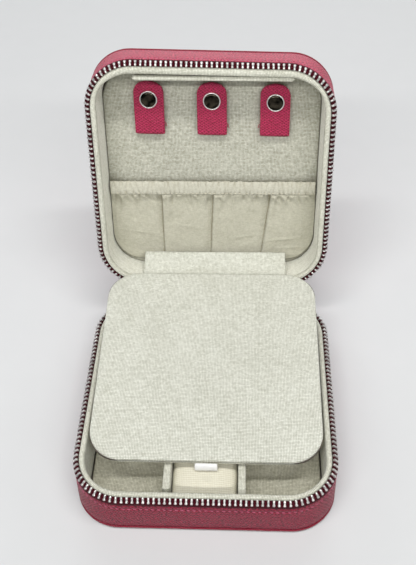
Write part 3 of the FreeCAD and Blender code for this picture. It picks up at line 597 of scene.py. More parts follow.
def bar(name, x0, x1, y0, y1, z0, z1, r, mat, body, M=EYE, axis="y", n=40, replaces=(), slot=None, bow=0.0, uvscale=1.0):
    """Cloth-covered bar along Y (or X) with a rounded cross-section and softened ends."""
    out = []
    sec = []
    for cx, cz, a0 in ((x1 - r, z1 - r, 0), (x0 + r, z1 - r, 90), (x0 + r, z0 + r, 180), (x1 - r, z0 + r, 270)):
        for k in range(6):
            a = math.radians(a0 + 90 * k / 5)
            sec.append((cx + r * math.cos(a), cz + r * math.sin(a)))
    mx, mz = (x0 + x1) / 2, (z0 + z1) / 2
    rows = []
    for i in range(n + 1):
        f = i / n
        y = y0 + (y1 - y0) * f
        e = min(f, 1 - f) * (y1 - y0)
        s = 1.0 if e > r else math.sqrt(max(0.0, 1 - (1 - e / r) ** 2)) * r
        row = []
        for x, z in sec:
            dx, dz = x - mx, z - mz
            if e < r:
                inset = r - math.sqrt(max(0.0, r * r - (r - e) ** 2))
                dx = math.copysign(max(abs(dx) - inset, 0.02), dx)
                dz = math.copysign(max(abs(dz) - inset, 0.02), dz)
            b = bow * math.sin(math.pi * f)
            row.append((mx + dx, y, mz + dz + b) if axis == "y" else (y, mx + dx, mz + dz + b))
        rows.append(row)
    ys = [r * (1 - math.cos(math.pi / 2 * k / 5)) for k in range(6)]
    v, f, uv = grid(rows, closed_v=True, caps=True)
    return make(name, v, f, mat, body, M, uv, replaces=replaces, slot=slot)


bar("divider_left_cloth", -17.85, -14.5, -49.5, 51.9, 4.9, 19.8, 0.8, LINEN, "base", replaces=("divider_left",), slot="linen", n=90)
bar("divider_right_cloth", 14.5, 17.85, -52.0, 51.9, 4.9, 19.8, 0.8, LINEN, "base", replaces=("divider_right",), slot="linen", n=90)


def box_mesh(hx, hy, z0, z1, r, n=2):
    bm = bmesh.new()
    bmesh.ops.create_cube(bm, size=1.0)
    for v in bm.verts:
        v.co = Vector((v.co.x * 2 * hx, v.co.y * 2 * hy, z0 + (v.co.z + 0.5) * (z1 - z0)))
    bmesh.ops.bevel(bm, geom=bm.edges[:], offset=r, segments=3, profile=0.5, affect="EDGES")
    return bm


def pillow():
    """Foam pillow in a ribbed cover: inflated by cloth simulation, then fitted between the dividers."""
    bm = box_mesh(13.9, 50.9, 6.0, 15.6, 1.4)
    me = bpy.data.meshes.new("jewelry_pillow_cover")
    for v in bm.verts:
        v.co *= MM
    bm.to_mesh(me)
    bm.free()
    ob = bpy.data.objects.new("jewelry_pillow_cover", me)
    bpy.context.scene.collection.objects.link(ob)
    rm = ob.modifiers.new("remesh", "REMESH")
    rm.mode = "VOXEL"
    rm.voxel_size = 0.0016
    dg = bpy.context.evaluated_depsgraph_get()
    me2 = bpy.data.meshes.new_from_object(ob.evaluated_get(dg))
    ob.modifiers.clear()
    ob.data = me2
    rest = np.array([v.co for v in me2.vertices])
    c = ob.modifiers.new("cloth", "CLOTH")
    c.settings.quality = 5
    c.settings.mass = 0.3
    c.settings.tension_stiffness = 20
    c.settings.compression_stiffness = 20
    c.settings.shear_stiffness = 10
    c.settings.bending_stiffness = 1.2
    c.settings.use_pressure = True
    c.settings.uniform_pressure_force = 4.0
    c.settings.effector_weights.gravity = 0.0
    sc = bpy.context.scene
    for fr in range(1, 17):
        sc.frame_set(fr)
    dg = bpy.context.evaluated_depsgraph_get()
    me3 = bpy.data.meshes.new_from_object(ob.evaluated_get(dg))
    ob.modifiers.clear()
    now = np.array([v.co for v in me3.vertices])
    sc.frame_set(1)
    d = now - rest
    length = np.linalg.norm(d, axis=1, keepdims=True)
    d *= np.minimum(1.0, 0.0022 / np.maximum(length, 1e-9))
    now = rest + d
    # crown towards the middle, dip where the ribbon hangs, stay inside the slot
    x, y, z = now[:, 0] / MM, now[:, 1] / MM, now[:, 2] / MM
    top = np.clip((z - 10.0) / 5.0, 0, 1)
    z = z + top * (1.5 * np.clip(1 - (x / 14.0) ** 2, 0, 1) * np.clip((y + 52.0) / 5, 0.3, 1) * np.clip((53.0 - y) / 12, 0.1, 1))
    z = z + top * 0.25 * np.sin(x * 0.45 + 1.0) * np.sin(y * 0.13)
    x = np.clip(x * (14.45 / np.abs(x).max()), -14.42, 14.42)
    y = np.clip(y, -51.85, 51.85)
    z = np.maximum(z, 5.4)
    zmax = np.where(y < -34, 18.1 - 1.1 * np.clip(1 - ((x - 0.6) / 7.5) ** 2, 0, 1) * np.clip(1 - ((y + 39.5) / 5.0) ** 2, 0, 1), 18.6)
    z = np.minimum(z, zmax)
    co = np.stack([x, y, z], 1) * MM
    me3.vertices.foreach_set("co", co.astype(np.float32).ravel())
    me3.update()
    ob.data = me3
    ob.data.name = "jewelry_pillow_cover"
    sub = ob.modifiers.new("sub", "SUBSURF")
    sub.levels = sub.render_levels = 1
    dg = bpy.context.evaluated_depsgraph_get()
    me4 = bpy.data.meshes.new_from_object(ob.evaluated_get(dg))
    ob.modifiers.clear()
    ob.data = me4
    layer = me4.uv_layers.new(name="UVMap")
    for poly in me4.polygons:
        poly.use_smooth = True
        nx, nz = abs(poly.normal.x), abs(poly.normal.z)
        for li in poly.loop_indices:
            c = me4.vertices[me4.loops[li].vertex_index].co / MM
            layer.data[li].uv = (c.x, c.y) if nz >= nx and nz > abs(poly.normal.y) else ((c.z + 30, c.y) if nx > abs(poly.normal.y) else (c.x, c.z - 60))
    me4.materials.clear()
    me4.materials.append(PILLOW)
    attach(ob, "base")
    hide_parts("jewelry_pillow")


pillow()

# ------------------------------------------------------------------ zip
C0 = 34.4


def zip_path(half, rad, pitch, shift, end_angle):
    c = half - rad
    arc_part = math.radians(end_angle)
    runs = [rad * arc_part, 2 * c, rad * math.pi / 2, 2 * c, rad * math.pi / 2, 2 * c, rad * arc_part]
    total = sum(runs)
    count = int(total / pitch)
    start = (total - (count - 1) * pitch) / 2 + shift
    out = []
    for k in range(count):
        d = start + k * pitch
        if d > total:
            break
        i = 0
        while d > runs[i] and i < 6:
            d -= runs[i]
            i += 1
        if i == 0:
            b = arc_part - d / rad
            out.append((-c - rad * math.cos(b), c + rad * math.sin(b), math.pi - b))
        elif i == 1:
            out.append((-half, c - d, math.pi))
        elif i == 2:
            a = math.pi + d / rad
            out.append((-c + rad * math.cos(a), -c + rad * math.sin(a), a))
        elif i == 3:
            out.append((-c + d, -half, 1.5 * math.pi))
        elif i == 4:
            a = 1.5 * math.pi + d / rad
            out.append((c + rad * math.cos(a), -c + rad * math.sin(a), a))
        elif i == 5:
            out.append((half, -c + d, 0.0))
        else:
            a = d / rad
            out.append((c + rad * math.cos(a), c + rad * math.sin(a), a))
    return out


def tooth():
    """One stamped tooth: legs gripping the tape, a neck and a wider domed head."""
    secs = [(-0.3, 0.30, 0.40), (-0.16, 0.43, 0.58), (0.35, 0.48, 0.68), (0.9, 0.47, 0.66), (1.18, 0.38, 0.50), (1.42, 0.44, 0.54), (1.68, 0.56, 0.64),
            (1.98, 0.6, 0.66), (2.22, 0.56, 0.58), (2.38, 0.38, 0.42), (2.42, 0.18, 0.2)]
    n = 12
    verts = []
    for s, w, t in secs:
        for k in range(n):
            a = 2 * math.pi * (k + 0.5) / n
            ca, sa = math.cos(a), math.sin(a)
            e = 0.55
            verts.append((s, w * math.copysign(abs(ca) ** e, ca), 0.62 + t * math.copysign(abs(sa) ** e, sa)))
    faces = []
    for s in range(len(secs) - 1):
        for k in range(n):
            faces.append((s * n + k, s * n + (k + 1) % n, (s + 1) * n + (k + 1) % n, (s + 1) * n + k))
    faces.append(tuple(range(n))[::-1])
    faces.append(tuple((len(secs) - 1) * n + k for k in range(n)))
    return verts, faces


def teeth(name, shift, mirror, body, M, node):
    tv, tf = tooth()
    verts, faces = [], []
    rnd = random.Random(5 + int(mirror))
    for x, y, a in zip_path(55.2, 20.8, 2.262, shift, 66.0):
        tilt = math.radians(-41 + rnd.uniform(-2.0, 2.0))
        seat = 23.55 + rnd.uniform(-0.05, 0.05)
        jig = rnd.uniform(-0.03, 0.03)
        base = len(verts)
        ca, sa, ct, st = math.cos(a + jig), math.sin(a + jig), math.cos(tilt), math.sin(tilt)
        for px, py, pz in tv:
            r, z = px * ct - pz * st, px * st + pz * ct
            wx, wy, wz = x + r * ca - py * sa, y + r * sa + py * ca, seat + z
            verts.append((wx, wy, 2 * HINGE[2] - wz if mirror else wz))
        faces += [tuple(base + i for i in f) for f in tf]
    return make(name, verts, faces, METAL, body, M, replaces=(node,), slot="zip_metal", sharp=50)


teeth("base_teeth", 0.0, False, "base", EYE, "base_zip_teeth")
teeth("lid_teeth", 2.262 / 2, True, "lid", LID, "lid_zip_teeth")


def tape(name, mirror, body, M, node):
    """Woven tape: stands behind the leather edge, then turns out under the teeth, with a beaded edge."""
    prof = [(55.15, 18.0), (55.12, 22.6), (55.2, 23.5), (55.45, 23.72), (55.9, 23.5), (56.5, 23.05), (57.1, 22.5), (57.46, 22.0), (57.6, 21.4), (57.58, 20.85), (57.4, 20.6), (57.15, 20.75), (57.1, 21.3), (56.75, 21.9),
            (56.35, 22.3), (56.05, 22.2), (55.98, 21.6), (56.0, 18.0)]
    rings = [loop(h, outer_rad(h), (2 * HINGE[2] - z) if mirror else z, ns=28, na=40) for h, z in prof]
    n = len(rings[0])
    idx = [i for i in range(n) if not (rings[6][i][1] > 40 and abs(rings[6][i][0]) < 36.0)]
    rows = [[ring[i] for ring in rings] for i in idx]
    v, f, uv = grid(rows, closed_v=True, caps=True)
    return make(name, v, f, TAPE, body, M, uv, replaces=(node,), slot="zip_tape", sharp=60)


tape("base_tape", False, "base", EYE, "base_zip_tape")
tape("lid_tape", True, "lid", LID, "lid_zip_tape")

# ------------------------------------------------------------------ spine, outside leather and inside linen


def spine(name, path, thick, half, mat, node, slot, flare=0.0):
    """Flexible strip along X. path: (y, z) centre line in the opened case; thick gives its thickness."""
    pts = [Vector((0, y, z)) for y, z in path]
    rows = []
    n = 40
    for i in range(n + 1):
        x = -half + 2 * half * i / n
        row = []
        up, lo = [], []
        for k, p in enumerate(pts):
            t = (pts[min(k + 1, len(pts) - 1)] - pts[max(k - 1, 0)]).normalized()
            nn = Vector((0, -t.z, t.y))
            up.append(p + nn * thick / 2)
            lo.append(p - nn * thick / 2)
        for q in up + lo[::-1]:
            row.append((x, q.y, q.z))
        rows.append(row)
    v, f, uv = grid(rows, closed_v=True, caps=True)
    ob = make(name, v, f, mat, None, EYE, uv, replaces=(node,), slot=slot, sharp=50)
    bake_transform(ob)
    return ob


def bez(p0, p1, p2, p3, n):
    out = []
    for i in range(n + 1):
        t = i / n
        a = (1 - t) ** 3
        b = 3 * t * (1 - t) ** 2
        c = 3 * t * t * (1 - t)
        d = t ** 3
        out.append((a * p0[0] + b * p1[0] + c * p2[0] + d * p3[0], a * p0[1] + b * p1[1] + c * p2[1] + d * p3[1]))
    return out


def lid_yz(y, z):
    p = LID @ Vector((0, y, z))
    return (p.y, p.z)


e0, e1 = lid_yz(58.1, 35.0), lid_yz(58.1, 39.0)
outer = [(58.1, 15.0 + k * 1.0) for k in range(7)] + bez((58.1, 22.0), (58.1, 26.4), (59.6, 29.2), e0, 14)[1:-1] + [e0, lid_yz(58.1, 37.0), e1]
spine("spine_skin", outer, 0.9, 31.0, LEATHER, "spine_leather", "leather_pink")
g0, g1 = lid_yz(55.4, 30.8), lid_yz(54.6, 32.4)
inner = [(54.4, 21.5), (54.6, 23.0)] + bez((54.9, 24.2), (55.6, 26.6), (58.6, 28.6), g0, 12) + [g1]
spine("spine_cloth", inner, 0.6, 33.0, LINEN, "spine_lining", "linen")

# ------------------------------------------------------------------ lid contents
bar("lid_ledge_cloth", -50.95, -48.95, -35.7, 37.5, 33.1, 38.6, 0.8, LINEN, "lid", LID @ Matrix.Rotation(0.010, 4, "Z"), axis="x", replaces=("lid_ledge_strip",), slot="linen", n=60)


PLEATS = [(-50.9, -50.9), (-25.4, -25.4), (0.6, -1.2), (29.3, 24.7), (50.9, 50.9)]
rg = random.Random(21)
GATHERS = []
gx = -49.0
while gx < 50:
    GATHERS.append((gx, rg.choice((-1, 1)) * rg.uniform(0.6, 1.25), rg.uniform(0.5, 1.15), rg.uniform(-0.28, 0.34), rg.uniform(3.0, 8.0)))
    gx += rg.uniform(1.5, 3.4)


FOLDS = []
gx = -48.0
while gx < 49:
    FOLDS.append((gx, rg.uniform(0.9, 1.5), rg.uniform(1.0, 1.6), rg.uniform(0.25, 0.85) * rg.choice((1, 1, -0.6)), rg.uniform(3.4, 7.0)))
    gx += rg.uniform(3.4, 5.6)


def lump(x, y, z):
    return noise.noise(Vector((x, y, z)))


def pocket_height(x, y):
    """How far the gathered cloth stands off the back panel, in mm."""
    f = min(max((y - 10.6) / 37.0, 0.0), 1.0)
    xs = [a + (b - a) * f for a, b in PLEATS]
    k = 0
    while k < 3 and x > xs[k + 1]:
        k += 1
    a, b = xs[k], xs[k + 1]
    t = min(max((x - a) / (b - a), 0.0), 1.0)
    down = (1 - f) ** 0.7
    foot = min(1.0, max(0.0, 49.2 - y) / 3.2) ** 0.5
    h = 0.35 + 1.5 * math.sin(math.pi * (0.08 + 0.86 * t)) ** 0.8 * (0.5 + 0.5 * math.sin(math.pi * min(1.0, f * 0.95 + 0.15)))
    if k > 0:
        # the tuck: cloth on the right is folded over, with a rounded edge standing proud
        d = x - a
        h += (1.7 + 0.4 * down) * (1 - math.exp(-(d / 0.3) ** 2)) * math.exp(-(d / 4.2) ** 1.5) * (0.5 + 0.5 * down)
        h -= 0.35 * math.exp(-((d - 5.5) / 2.2) ** 2) * down
    if k < 3:
        # and the cloth on its left runs under the fold
        d = b - x
        h -= 1.15 * math.exp(-(d / 2.0) ** 2) * (0.45 + 0.55 * down)
    g = 0.0
    for gx_, ga, gw, sl, ln in GATHERS:
        dx = x - gx_ - sl * (y - 10.6)
        if abs(dx) < 4:
            g += ga * math.exp(-(dx / gw) ** 2) * math.exp(-(max(0.0, y - 10.4) / ln) ** 1.3)
    for gx_, ga, gw, sl, ln in FOLDS:
        dx = x - gx_ - sl * (y - 10.6)
        if abs(dx) < 6:
            g += ga * math.exp(-(dx / gw) ** 2) * math.exp(-(max(0.0, y - 11.0) / ln) ** 2)
    # a short fold near the middle and creases low on the right
    d = x - 10.6 + 0.14 * (y - 11)
    if y < 26:
        g += 0.9 * (1 - math.exp(-(max(d, 0) / 0.3) ** 2)) * math.exp(-(max(d, 0) / 2.6) ** 1.5) * max(0.0, 1 - max(0.0, y - 14) / 10.0)
    for cx_, cy_, sl, ln, amp in ((38.0, 37.0, -0.10, 9.0, 0.4), (41.0, 42.0, -0.06, 8.0, 0.34), (-38.0, 33.0, 0.12, 10.0, 0.28), (-12.0, 30.0, 0.22, 7.0, 0.3), (14.0, 36.0, -0.2, 7.0, 0.28)):
        dy = y - cy_ - sl * (x - cx_)
        g += amp * math.exp(-(dy / 0.8) ** 2) * math.exp(-((x - cx_) / ln) ** 2)
    soft = 0.42 * lump(x * 0.09, y * 0.08, 4.2) + 0.26 * lump(x * 0.24, y * 0.18, 9.0) + 0.12 * lump(x * 0.6, y * 0.35, 2.0)
    edge = min(1.0, max(0.0, 51.6 - abs(x)) / 2.2) ** 0.6
    ruff = math.exp(-(max(0.0, y - 11.2) / (2.2 + 1.2 * lump(x * 0.5, 1.0, 6.0))) ** 1.3)
    g += ruff * (1.5 + 0.9 * lump(x * 0.34, 5.0, 1.0) + 0.7 * lump(x * 0.8, 2.0, 3.0))
    out = 0.2 + (max(h, 0.1) + g + soft) * (0.2 + 0.8 * edge) * foot
    cap = 2.9 + 2.0 * smooth((y - 11.0) / 2.2)
    return out if out < cap - 0.6 else cap - 0.6 * math.exp(-(out - cap + 0.6) / 0.6)


def pocket():
    nx, ny = 400, 124
    half, rad, top, foot = 51.6, 15.9, 6.0, 49.3
    H = np.zeros((nx + 1, ny + 1))
    rows = []
    for i in range(nx + 1):
        s = -1 + 2 * i / nx
        row = []
        for j in range(ny + 1):
            y = top + (foot - top) * j / ny
            w = half
            d = y - (foot - rad)
            if d > 0:
                w = half - rad + math.sqrt(max(rad * rad - d * d, 0.0))
            x = s * w
            H[i, j] = max(pocket_height(x, y), 0.12)
            row.append((x, y))
        rows.append(row)
    # painted crease shade map: how far below its surroundings each point lies; the pocket cloth is painted darker there
    # as shade
    blur = H.copy()
    for _ in range(10):
        pad = np.pad(blur, 1, mode="edge")
        blur = (pad[:-2, 1:-1] + pad[2:, 1:-1] + pad[1:-1, :-2] + pad[1:-1, 2:] + 2 * pad[1:-1, 1:-1]) / 6
    cav = np.clip((blur - H) * 1.3 - 0.05, 0, 0.75)
    full = []
    for i in range(nx + 1):
        front = [(rows[i][j][0], rows[i][j][1], 48.9 - H[i, j]) for j in range(ny + 1)]
        back = [(x, y, min(z + 0.45, 48.97)) for x, y, z in front]
        full.append(front + back[::-1])
    us = [-51.2 + 102.4 * i / nx for i in range(nx + 2)]
    vs = [43.0 * j / ny for j in range(ny + 1)] + [43.0 - 43.0 * j / ny for j in range(ny + 1)] + [0.0]
    v, f, uv = grid(full, closed_v=True, caps=True, us=us, vs=vs)
    ob = make("pocket_cloth_sheet", v, f, POCKET, "lid", LID, uv, replaces=("pocket_sheet",), slot="pocket_cloth")
    layer = ob.data.attributes.new("cavity", "FLOAT", "POINT")
    vals = np.concatenate([np.concatenate([cav[i], cav[i][::-1]]) for i in range(nx + 1)])
    if len(ob.data.vertices) == len(vals):
        layer.data.foreach_set("value", vals.astype(np.float32))
    # header: a puffy, puckered sleeve; the elastic inside it is not drawn, and the CAD elastic is hidden
    sec = []
    nn = 28
    for k in range(nn):
        a = 2 * math.pi * k / nn
        ca, sa = math.cos(a), math.sin(a)
        sec.append((3.45 * math.copysign(abs(ca) ** 0.7, ca), 0.95 * math.copysign(abs(sa) ** 0.75, sa)))
    rows = []
    n = 420
    puckers = []
    x = -50.5
    while x < 50.5:
        puckers.append((x, rg.uniform(0.45, 1.0), rg.uniform(-0.35, 0.35), rg.uniform(0.28, 0.6)))
        x += rg.uniform(1.1, 2.9)
    pucker_shade = []
    for i in range(n + 1):
        x = -50.9 + 101.8 * i / n
        yc = 8.0 + 0.2 * lump(x * 0.1, 0, 7.0)
        e = min(1.0, (50.95 - abs(x)) / 0.8) ** 0.5
        row = []
        for sy, sz in sec:
            puff = 1 + 0.22 * lump(x * 0.4, sy * 0.15, 1.5)
            dip = 0.0
            for px_, am, sl, wd in puckers:
                dx = x - px_ - sl * sy
                if abs(dx) < 2:
                    dip += am * math.exp(-(dx / wd) ** 2) * (0.35 + 0.65 * min(1.0, abs(sy) / 3.0))
            wv = 0.30 * lump(x * 0.42, 2.0, 0.5) + 0.18 * lump(x * 1.1, 3.0, 0.5) if abs(sy) > 2 else 0.0
            row.append((x, yc + sy * (0.97 + 0.03 * e) + wv, 45.6 - ((sz * puff * 1.2 - min(dip, 1.1) * 0.62) if sz > 0 else sz) * (0.5 + 0.5 * e)))
            # painted shade in the pucker dips on the sleeve's front
            pucker_shade.append(min(0.34, dip * 0.30) if sz > 0 else 0.0)
        rows.append(row)
    v, f, uv = grid(rows, closed_v=True, caps=True)
    ob = make("pocket_header_sleeve", v, f, HEADER, "lid", LID, uv, replaces=("pocket_header", "pocket_elastic"), slot="pocket_cloth")
    layer = ob.data.attributes.new("cavity", "FLOAT", "POINT")
    if len(ob.data.vertices) == len(pucker_shade):
        layer.data.foreach_set("value", pucker_shade)
    # stitch line under the sleeve
    verts, faces, uvs = [], [], []
    x = -49.5
    while x < 49.5:
        base = len(verts)
        y0, z0 = 10.55, 44.72
        for s, w in ((-0.55, 0.3), (-0.3, 1.0), (0.3, 1.0), (0.55, 0.3)):
            for q in range(6):
                an = 2 * math.pi * q / 6
                verts.append((x + s * 1.4, y0 + 0.17 * w * math.cos(an), z0 + 0.14 * w * math.sin(an) + 0.12 * abs(s)))
        for s in range(3):
            for q in range(6):
                faces.append((base + s * 6 + q, base + s * 6 + (q + 1) % 6, base + (s + 1) * 6 + (q + 1) % 6, base + (s + 1) * 6 + q))
                uvs += [(s, q), (s, q + 1), (s + 1, q + 1), (s + 1, q)]
        faces.append(tuple(base + q for q in range(6))[::-1])
        uvs += [(0, q) for q in range(6)]
        faces.append(tuple(base + 18 + q for q in range(6)))
        uvs += [(3, q) for q in range(6)]
        x += 2.1
    make("pocket_stitching", verts, faces, THREAD_PALE, "lid", LID, uvs, slot="pocket_cloth")


pocket()

# ------------------------------------------------------------------ snap straps
for side, sgn in (("left", -1), ("centre", 0), ("right", 1)):
    cx = 0.3 + 29.8 * sgn
    body = "flap_" + side
    zb, zf, yf, t = 48.3, 46.0, -20.8, 1.1
    rr = (zb - zf) / 2
    path = [(y, zb) for y in np.linspace(-43.4, yf - 0.2, 18)]
    path += [(yf + rr * 1.15 * math.sin(math.pi * k / 12), zf + rr + rr * math.cos(math.pi * k / 12)) for k in range(0, 13)]
    path += [(y, zf - 0.18 * math.sin(math.pi * (yf - y) / 24.0)) for y in np.linspace(yf - 0.2, -44.7, 30)]
    total = [0.0]
    for a, b in zip(path, path[1:]):
        total.append(total[-1] + math.hypot(b[0] - a[0], b[1] - a[1]))
    L = total[-1]
    rows = []
    nw = 18
    for k, (y, z) in enumerate(path):
        a, b = path[max(k - 1, 0)], path[min(k + 1, len(path) - 1)]
        ty, tz = b[0] - a[0], b[1] - a[1]
        ln = math.hypot(ty, tz)
        ny_, nz_ = -tz / ln, ty / ln
        d_end = min(total[k] + 1.2, L - total[k])
        w = 7.0
        rr_ = 6.2
        if L - total[k] < rr_:
            w = 7.0 - rr_ + math.sqrt(max(rr_ ** 2 - (rr_ - (L - total[k])) ** 2, 0.0))
            w = max(w, 0.9)
        if total[k] < 5.0:
            w = 7.0 - 5.0 + math.sqrt(max(25.0 - (5.0 - total[k]) ** 2, 0.0))
        top, bot = [], []
        for i in range(nw + 1):
            s = -1 + 2 * i / nw
            x = cx + s * w
            thin = t / 2 * (1 - 0.55 * abs(s) ** 8)
            top.append((x, y + ny_ * thin, z + nz_ * thin))
            bot.append((x, y - ny_ * thin, z - nz_ * thin))
        rows.append(top + bot[::-1])
    us = total + [total[-1]]
    vs = [14.0 * i / nw for i in range(nw + 1)] + [14.6 + 14.0 * i / nw for i in range(nw + 1)] + [29.2]
    v, f, uv = grid(rows, closed_v=True, caps=True, us=us, vs=vs)
    ob = make("strap_" + side, v, f, STRAP, None, LID, uv, replaces=("strap_flap_" + side, "strap_back_" + side), slot="leather_pink", sharp=60)
    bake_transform(ob)

    # snap: dark domed cap in a bright turned rim
    def turned(name, prof, mat, z0, sgnz, body_, n=40, replaces=(), slot=None):
        rows = []
        for i in range(n):
            a = 2 * math.pi * i / n
            rows.append([(cx + r * math.cos(a), -35.7 + r * math.sin(a), z0 + sgnz * h) for r, h in prof])
        v, f, uv = grid(rows, closed_u=True, closed_v=False, caps=True)
        return make(name, v, f, mat, body_, LID, uv, replaces=replaces, slot=slot, sharp=50)

    dome = [(3.62, 0.1)] + [(3.62 * math.cos(math.radians(a)), 0.45 + 0.8 * math.sin(math.radians(a))) for a in range(0, 88, 8)]
    turned("snap_dome_" + side, dome, BLACK_MOTTLED_REFLECTION, 45.38, -1, body, replaces=("snap_cap_" + side,), slot="snap_cap")
    ringp = [(3.58, 0.0), (4.1, 0.0), (4.22, 0.15), (4.2, 0.42), (4.1, 0.66), (3.92, 0.78), (3.74, 0.76), (3.63, 0.6)]
    rows = [[(cx + r * math.cos(2 * math.pi * i / 44), -35.7 + r * math.sin(2 * math.pi * i / 44), 45.4 - h) for r, h in ringp] for i in range(44)]
    v, f, uv = grid(rows, closed_u=True, closed_v=True)
    make("snap_rim_" + side, v, f, STEEL, body, LID, uv, slot="snap_metal")
    # socket ring under the flap and the stud on the fixed layer
    sockp = [(2.45, 0.0), (3.3, 0.0), (3.3, 0.75), (3.1, 0.98), (2.8, 1.0), (2.6, 0.85), (2.45, 0.6)]
    rows = [[(cx + r * math.cos(2 * math.pi * i / 40), -35.7 + r * math.sin(2 * math.pi * i / 40), 46.62 + h) for r, h in sockp] for i in range(40)]
    v, f, uv = grid(rows, closed_u=True, closed_v=True)
    make("snap_ring_" + side, v, f, STEEL, body, LID, uv, replaces=("snap_socket_" + side,), slot="snap_metal", sharp=50)
    turned("snap_stud_" + side, [(2.3, 0.0), (2.3, 0.15), (1.7, 0.3), (1.6, 0.5), (1.85, 0.75), (1.8, 0.95), (1.3, 1.1), (0.5, 1.14)], STEEL, 47.75, -1, "lid",
           replaces=("snap_studs",) if sgn == 0 else (), slot="snap_metal")

# loose ends of stitching thread at the straps' lower corners
def thread_end(name, pts, r=0.17):
    cv = [Vector(p) for p in pts]
    rows = []
    for i, p in enumerate(cv):
        t = (cv[min(i + 1, len(cv) - 1)] - cv[max(i - 1, 0)]).normalized()
        a = t.cross(Vector((0, 0, 1))).normalized()
        b = t.cross(a)
        w = r * (1.0 if 0 < i < len(cv) - 1 else 0.5)
        rows.append([tuple(p + a * (w * math.cos(2 * math.pi * k / 8)) + b * (w * math.sin(2 * math.pi * k / 8))) for k in range(8)])
    v, f, uv = grid(rows, closed_v=True, caps=True)
    make(name, v, f, STRAP_THREAD, "lid", LID, uv, slot="leather_pink")


STRAP_THREAD = thread_mat("strap_thread", srgb(196, 40, 86), srgb(140, 12, 50))
for name, x0, sx in (("left", -22.5, 1), ("centre", 7.3, 1), ("right", 23.1, -1)):
    thread_end("strap_thread_" + name, [(x0 - 0.6 * sx, -24.6, 48.0), (x0 + 0.3 * sx, -24.4, 47.9), (x0 + 0.7 * sx, -23.6, 47.8), (x0 + 0.6 * sx, -22.8, 47.9), (x0 + 1.2 * sx, -22.6, 47.7)])

# ------------------------------------------------------------------ hinge strip
hs = [(51.9, 33.2), (51.6, 34.0), (50.9, 35.6)]
path = [(51.35, 33.0)] + bez((51.45, 34.0), (51.7, 37.6), (48.6, 40.6), (44.1, 45.7), 16)
rows = []
n = 70
for i in range(n + 1):
    f = i / n
    x = -36.0 + 74.0 * f
    row, low = [], []
    e = min(1.0, min(f, 1 - f) * 74.0 / 0.8) ** 0.5
    for k, (y, z) in enumerate(path):
        a, b = path[max(k - 1, 0)], path[min(k + 1, len(path) - 1)]
        ty, tz = b[0] - a[0], b[1] - a[1]
        ln = math.hypot(ty, tz)
        ny_, nz_ = -tz / ln, ty / ln
        q = k / (len(path) - 1)
        wav = 0.25 * noise.noise(Vector((x * 0.05, q * 1.2, 3.0))) * math.sin(math.pi * q)
        g = 0.5 * (1 - 0.6 * (1 - e)) * (1.0 if 0 < k < len(path) - 1 else 0.6)
        xx = x + (x - 1.0) * -0.02 * q
        row.append((xx, y + ny_ * (g + wav), z + nz_ * (g + wav)))
        low.append((xx, y - ny_ * (g - wav), z - nz_ * (g - wav)))
    rows.append(row + low[::-1])
v, f, uv = grid(rows, closed_v=True, caps=True)
make("hinge_strip_cloth", v, f, LINEN_PANEL, "lid", LID, uv, replaces=("hinge_strip",), slot="linen")

# the folded cloth edge the cover panel turns on
hy, hz = [1000 * c for c in JOINTS["hem_fold"]["pos_m"][1:]]
rows = []
for i in range(61):
    x = -34.4 + 70.9 * i / 60
    rr_ = 0.45 + 0.03 * noise.noise(Vector((x * 0.5, 0, 2.0)))
    rows.append([(x, hy + rr_ * math.cos(math.radians(a)), hz + rr_ * math.sin(math.radians(a))) for a in range(0, 360, 30)])
v, f, uv = grid(rows, closed_v=True, caps=True)
make("hinge_strip_hem_cloth", v, f, LINEN, "panel_hem", EYE, uv, replaces=("hinge_strip_hem",), slot="linen")

# ------------------------------------------------------------------ cover panel
PL = 101.4
pad_slab("panel_top_cloth", 51.45, 14.7, 1.05, 3.0, LINEN_PANEL, "cover_panel", PANEL, half_y=PL / 2, cy=-PL / 2, round_=0.85, crown=0.35,
         replaces=("panel_top_pad",), slot="linen", lower_round=0.5, wav=0.25, seed=3)
pad_slab("panel_under_cloth", 51.45, 14.7, -0.1, 0.95, LINEN, "cover_panel", PANEL, half_y=PL / 2, cy=-PL / 2, round_=0.42, crown=0.0,
         replaces=("panel_underside",), slot="linen", lower_round=0.42)


def ribbon():
    """Loop of satin ribbon sewn under the panel's front edge, hanging in front of the pillow."""
    f0 = PANEL @ Vector((0, -PL, 0.4))
    y0, z0 = f0.y, f0.z
    path = [(y0 + 5.0, z0 - 0.75), (y0 + 2.0, z0 - 1.0)] + bez((y0 + 0.4, z0 - 0.9), (y0 - 0.7, z0 - 0.75), (y0 - 1.15, z0 - 1.6), (y0 - 1.25, z0 - 3.6), 12)
    rows = []
    n = 14
    for i in range(n + 1):
        x = -4.3 + 9.8 * i / n
        up, lo = [], []
        for k, (y, z) in enumerate(path):
            a, b = path[max(k - 1, 0)], path[min(k + 1, len(path) - 1)]
            ty, tz = b[0] - a[0], b[1] - a[1]
            ln = math.hypot(ty, tz)
            ny_, nz_ = -tz / ln, ty / ln
            g = 0.28 + (0.08 if k == len(path) - 1 else 0)
            up.append((x, y + ny_ * g, z + nz_ * g))
            lo.append((x, y - ny_ * g, z - nz_ * g))
        rows.append(up + lo[::-1])
    v, f, uv = grid(rows, closed_v=True, caps=True)
    make("pull_ribbon", v, f, RIBBON, "cover_panel", EYE, uv, replaces=("panel_pull_ribbon",), slot="ribbon")


ribbon()

# ------------------------------------------------------------------ carried-over CAD nodes
SHOWN = {"base_wall_core": BOARD, "base_floor_board": BOARD, "lid_wall_core": BOARD, "lid_top_board": BOARD, "panel_board": BOARD,
         "base_zip_end_stops": METAL, "lid_zip_end_stops": METAL, "zip_slider": METAL, "zip_pull": METAL}
for name, mat in SHOWN.items():
    ob = frame["nodes"][name]
    ob.data.materials.clear()
    ob.data.materials.append(mat)

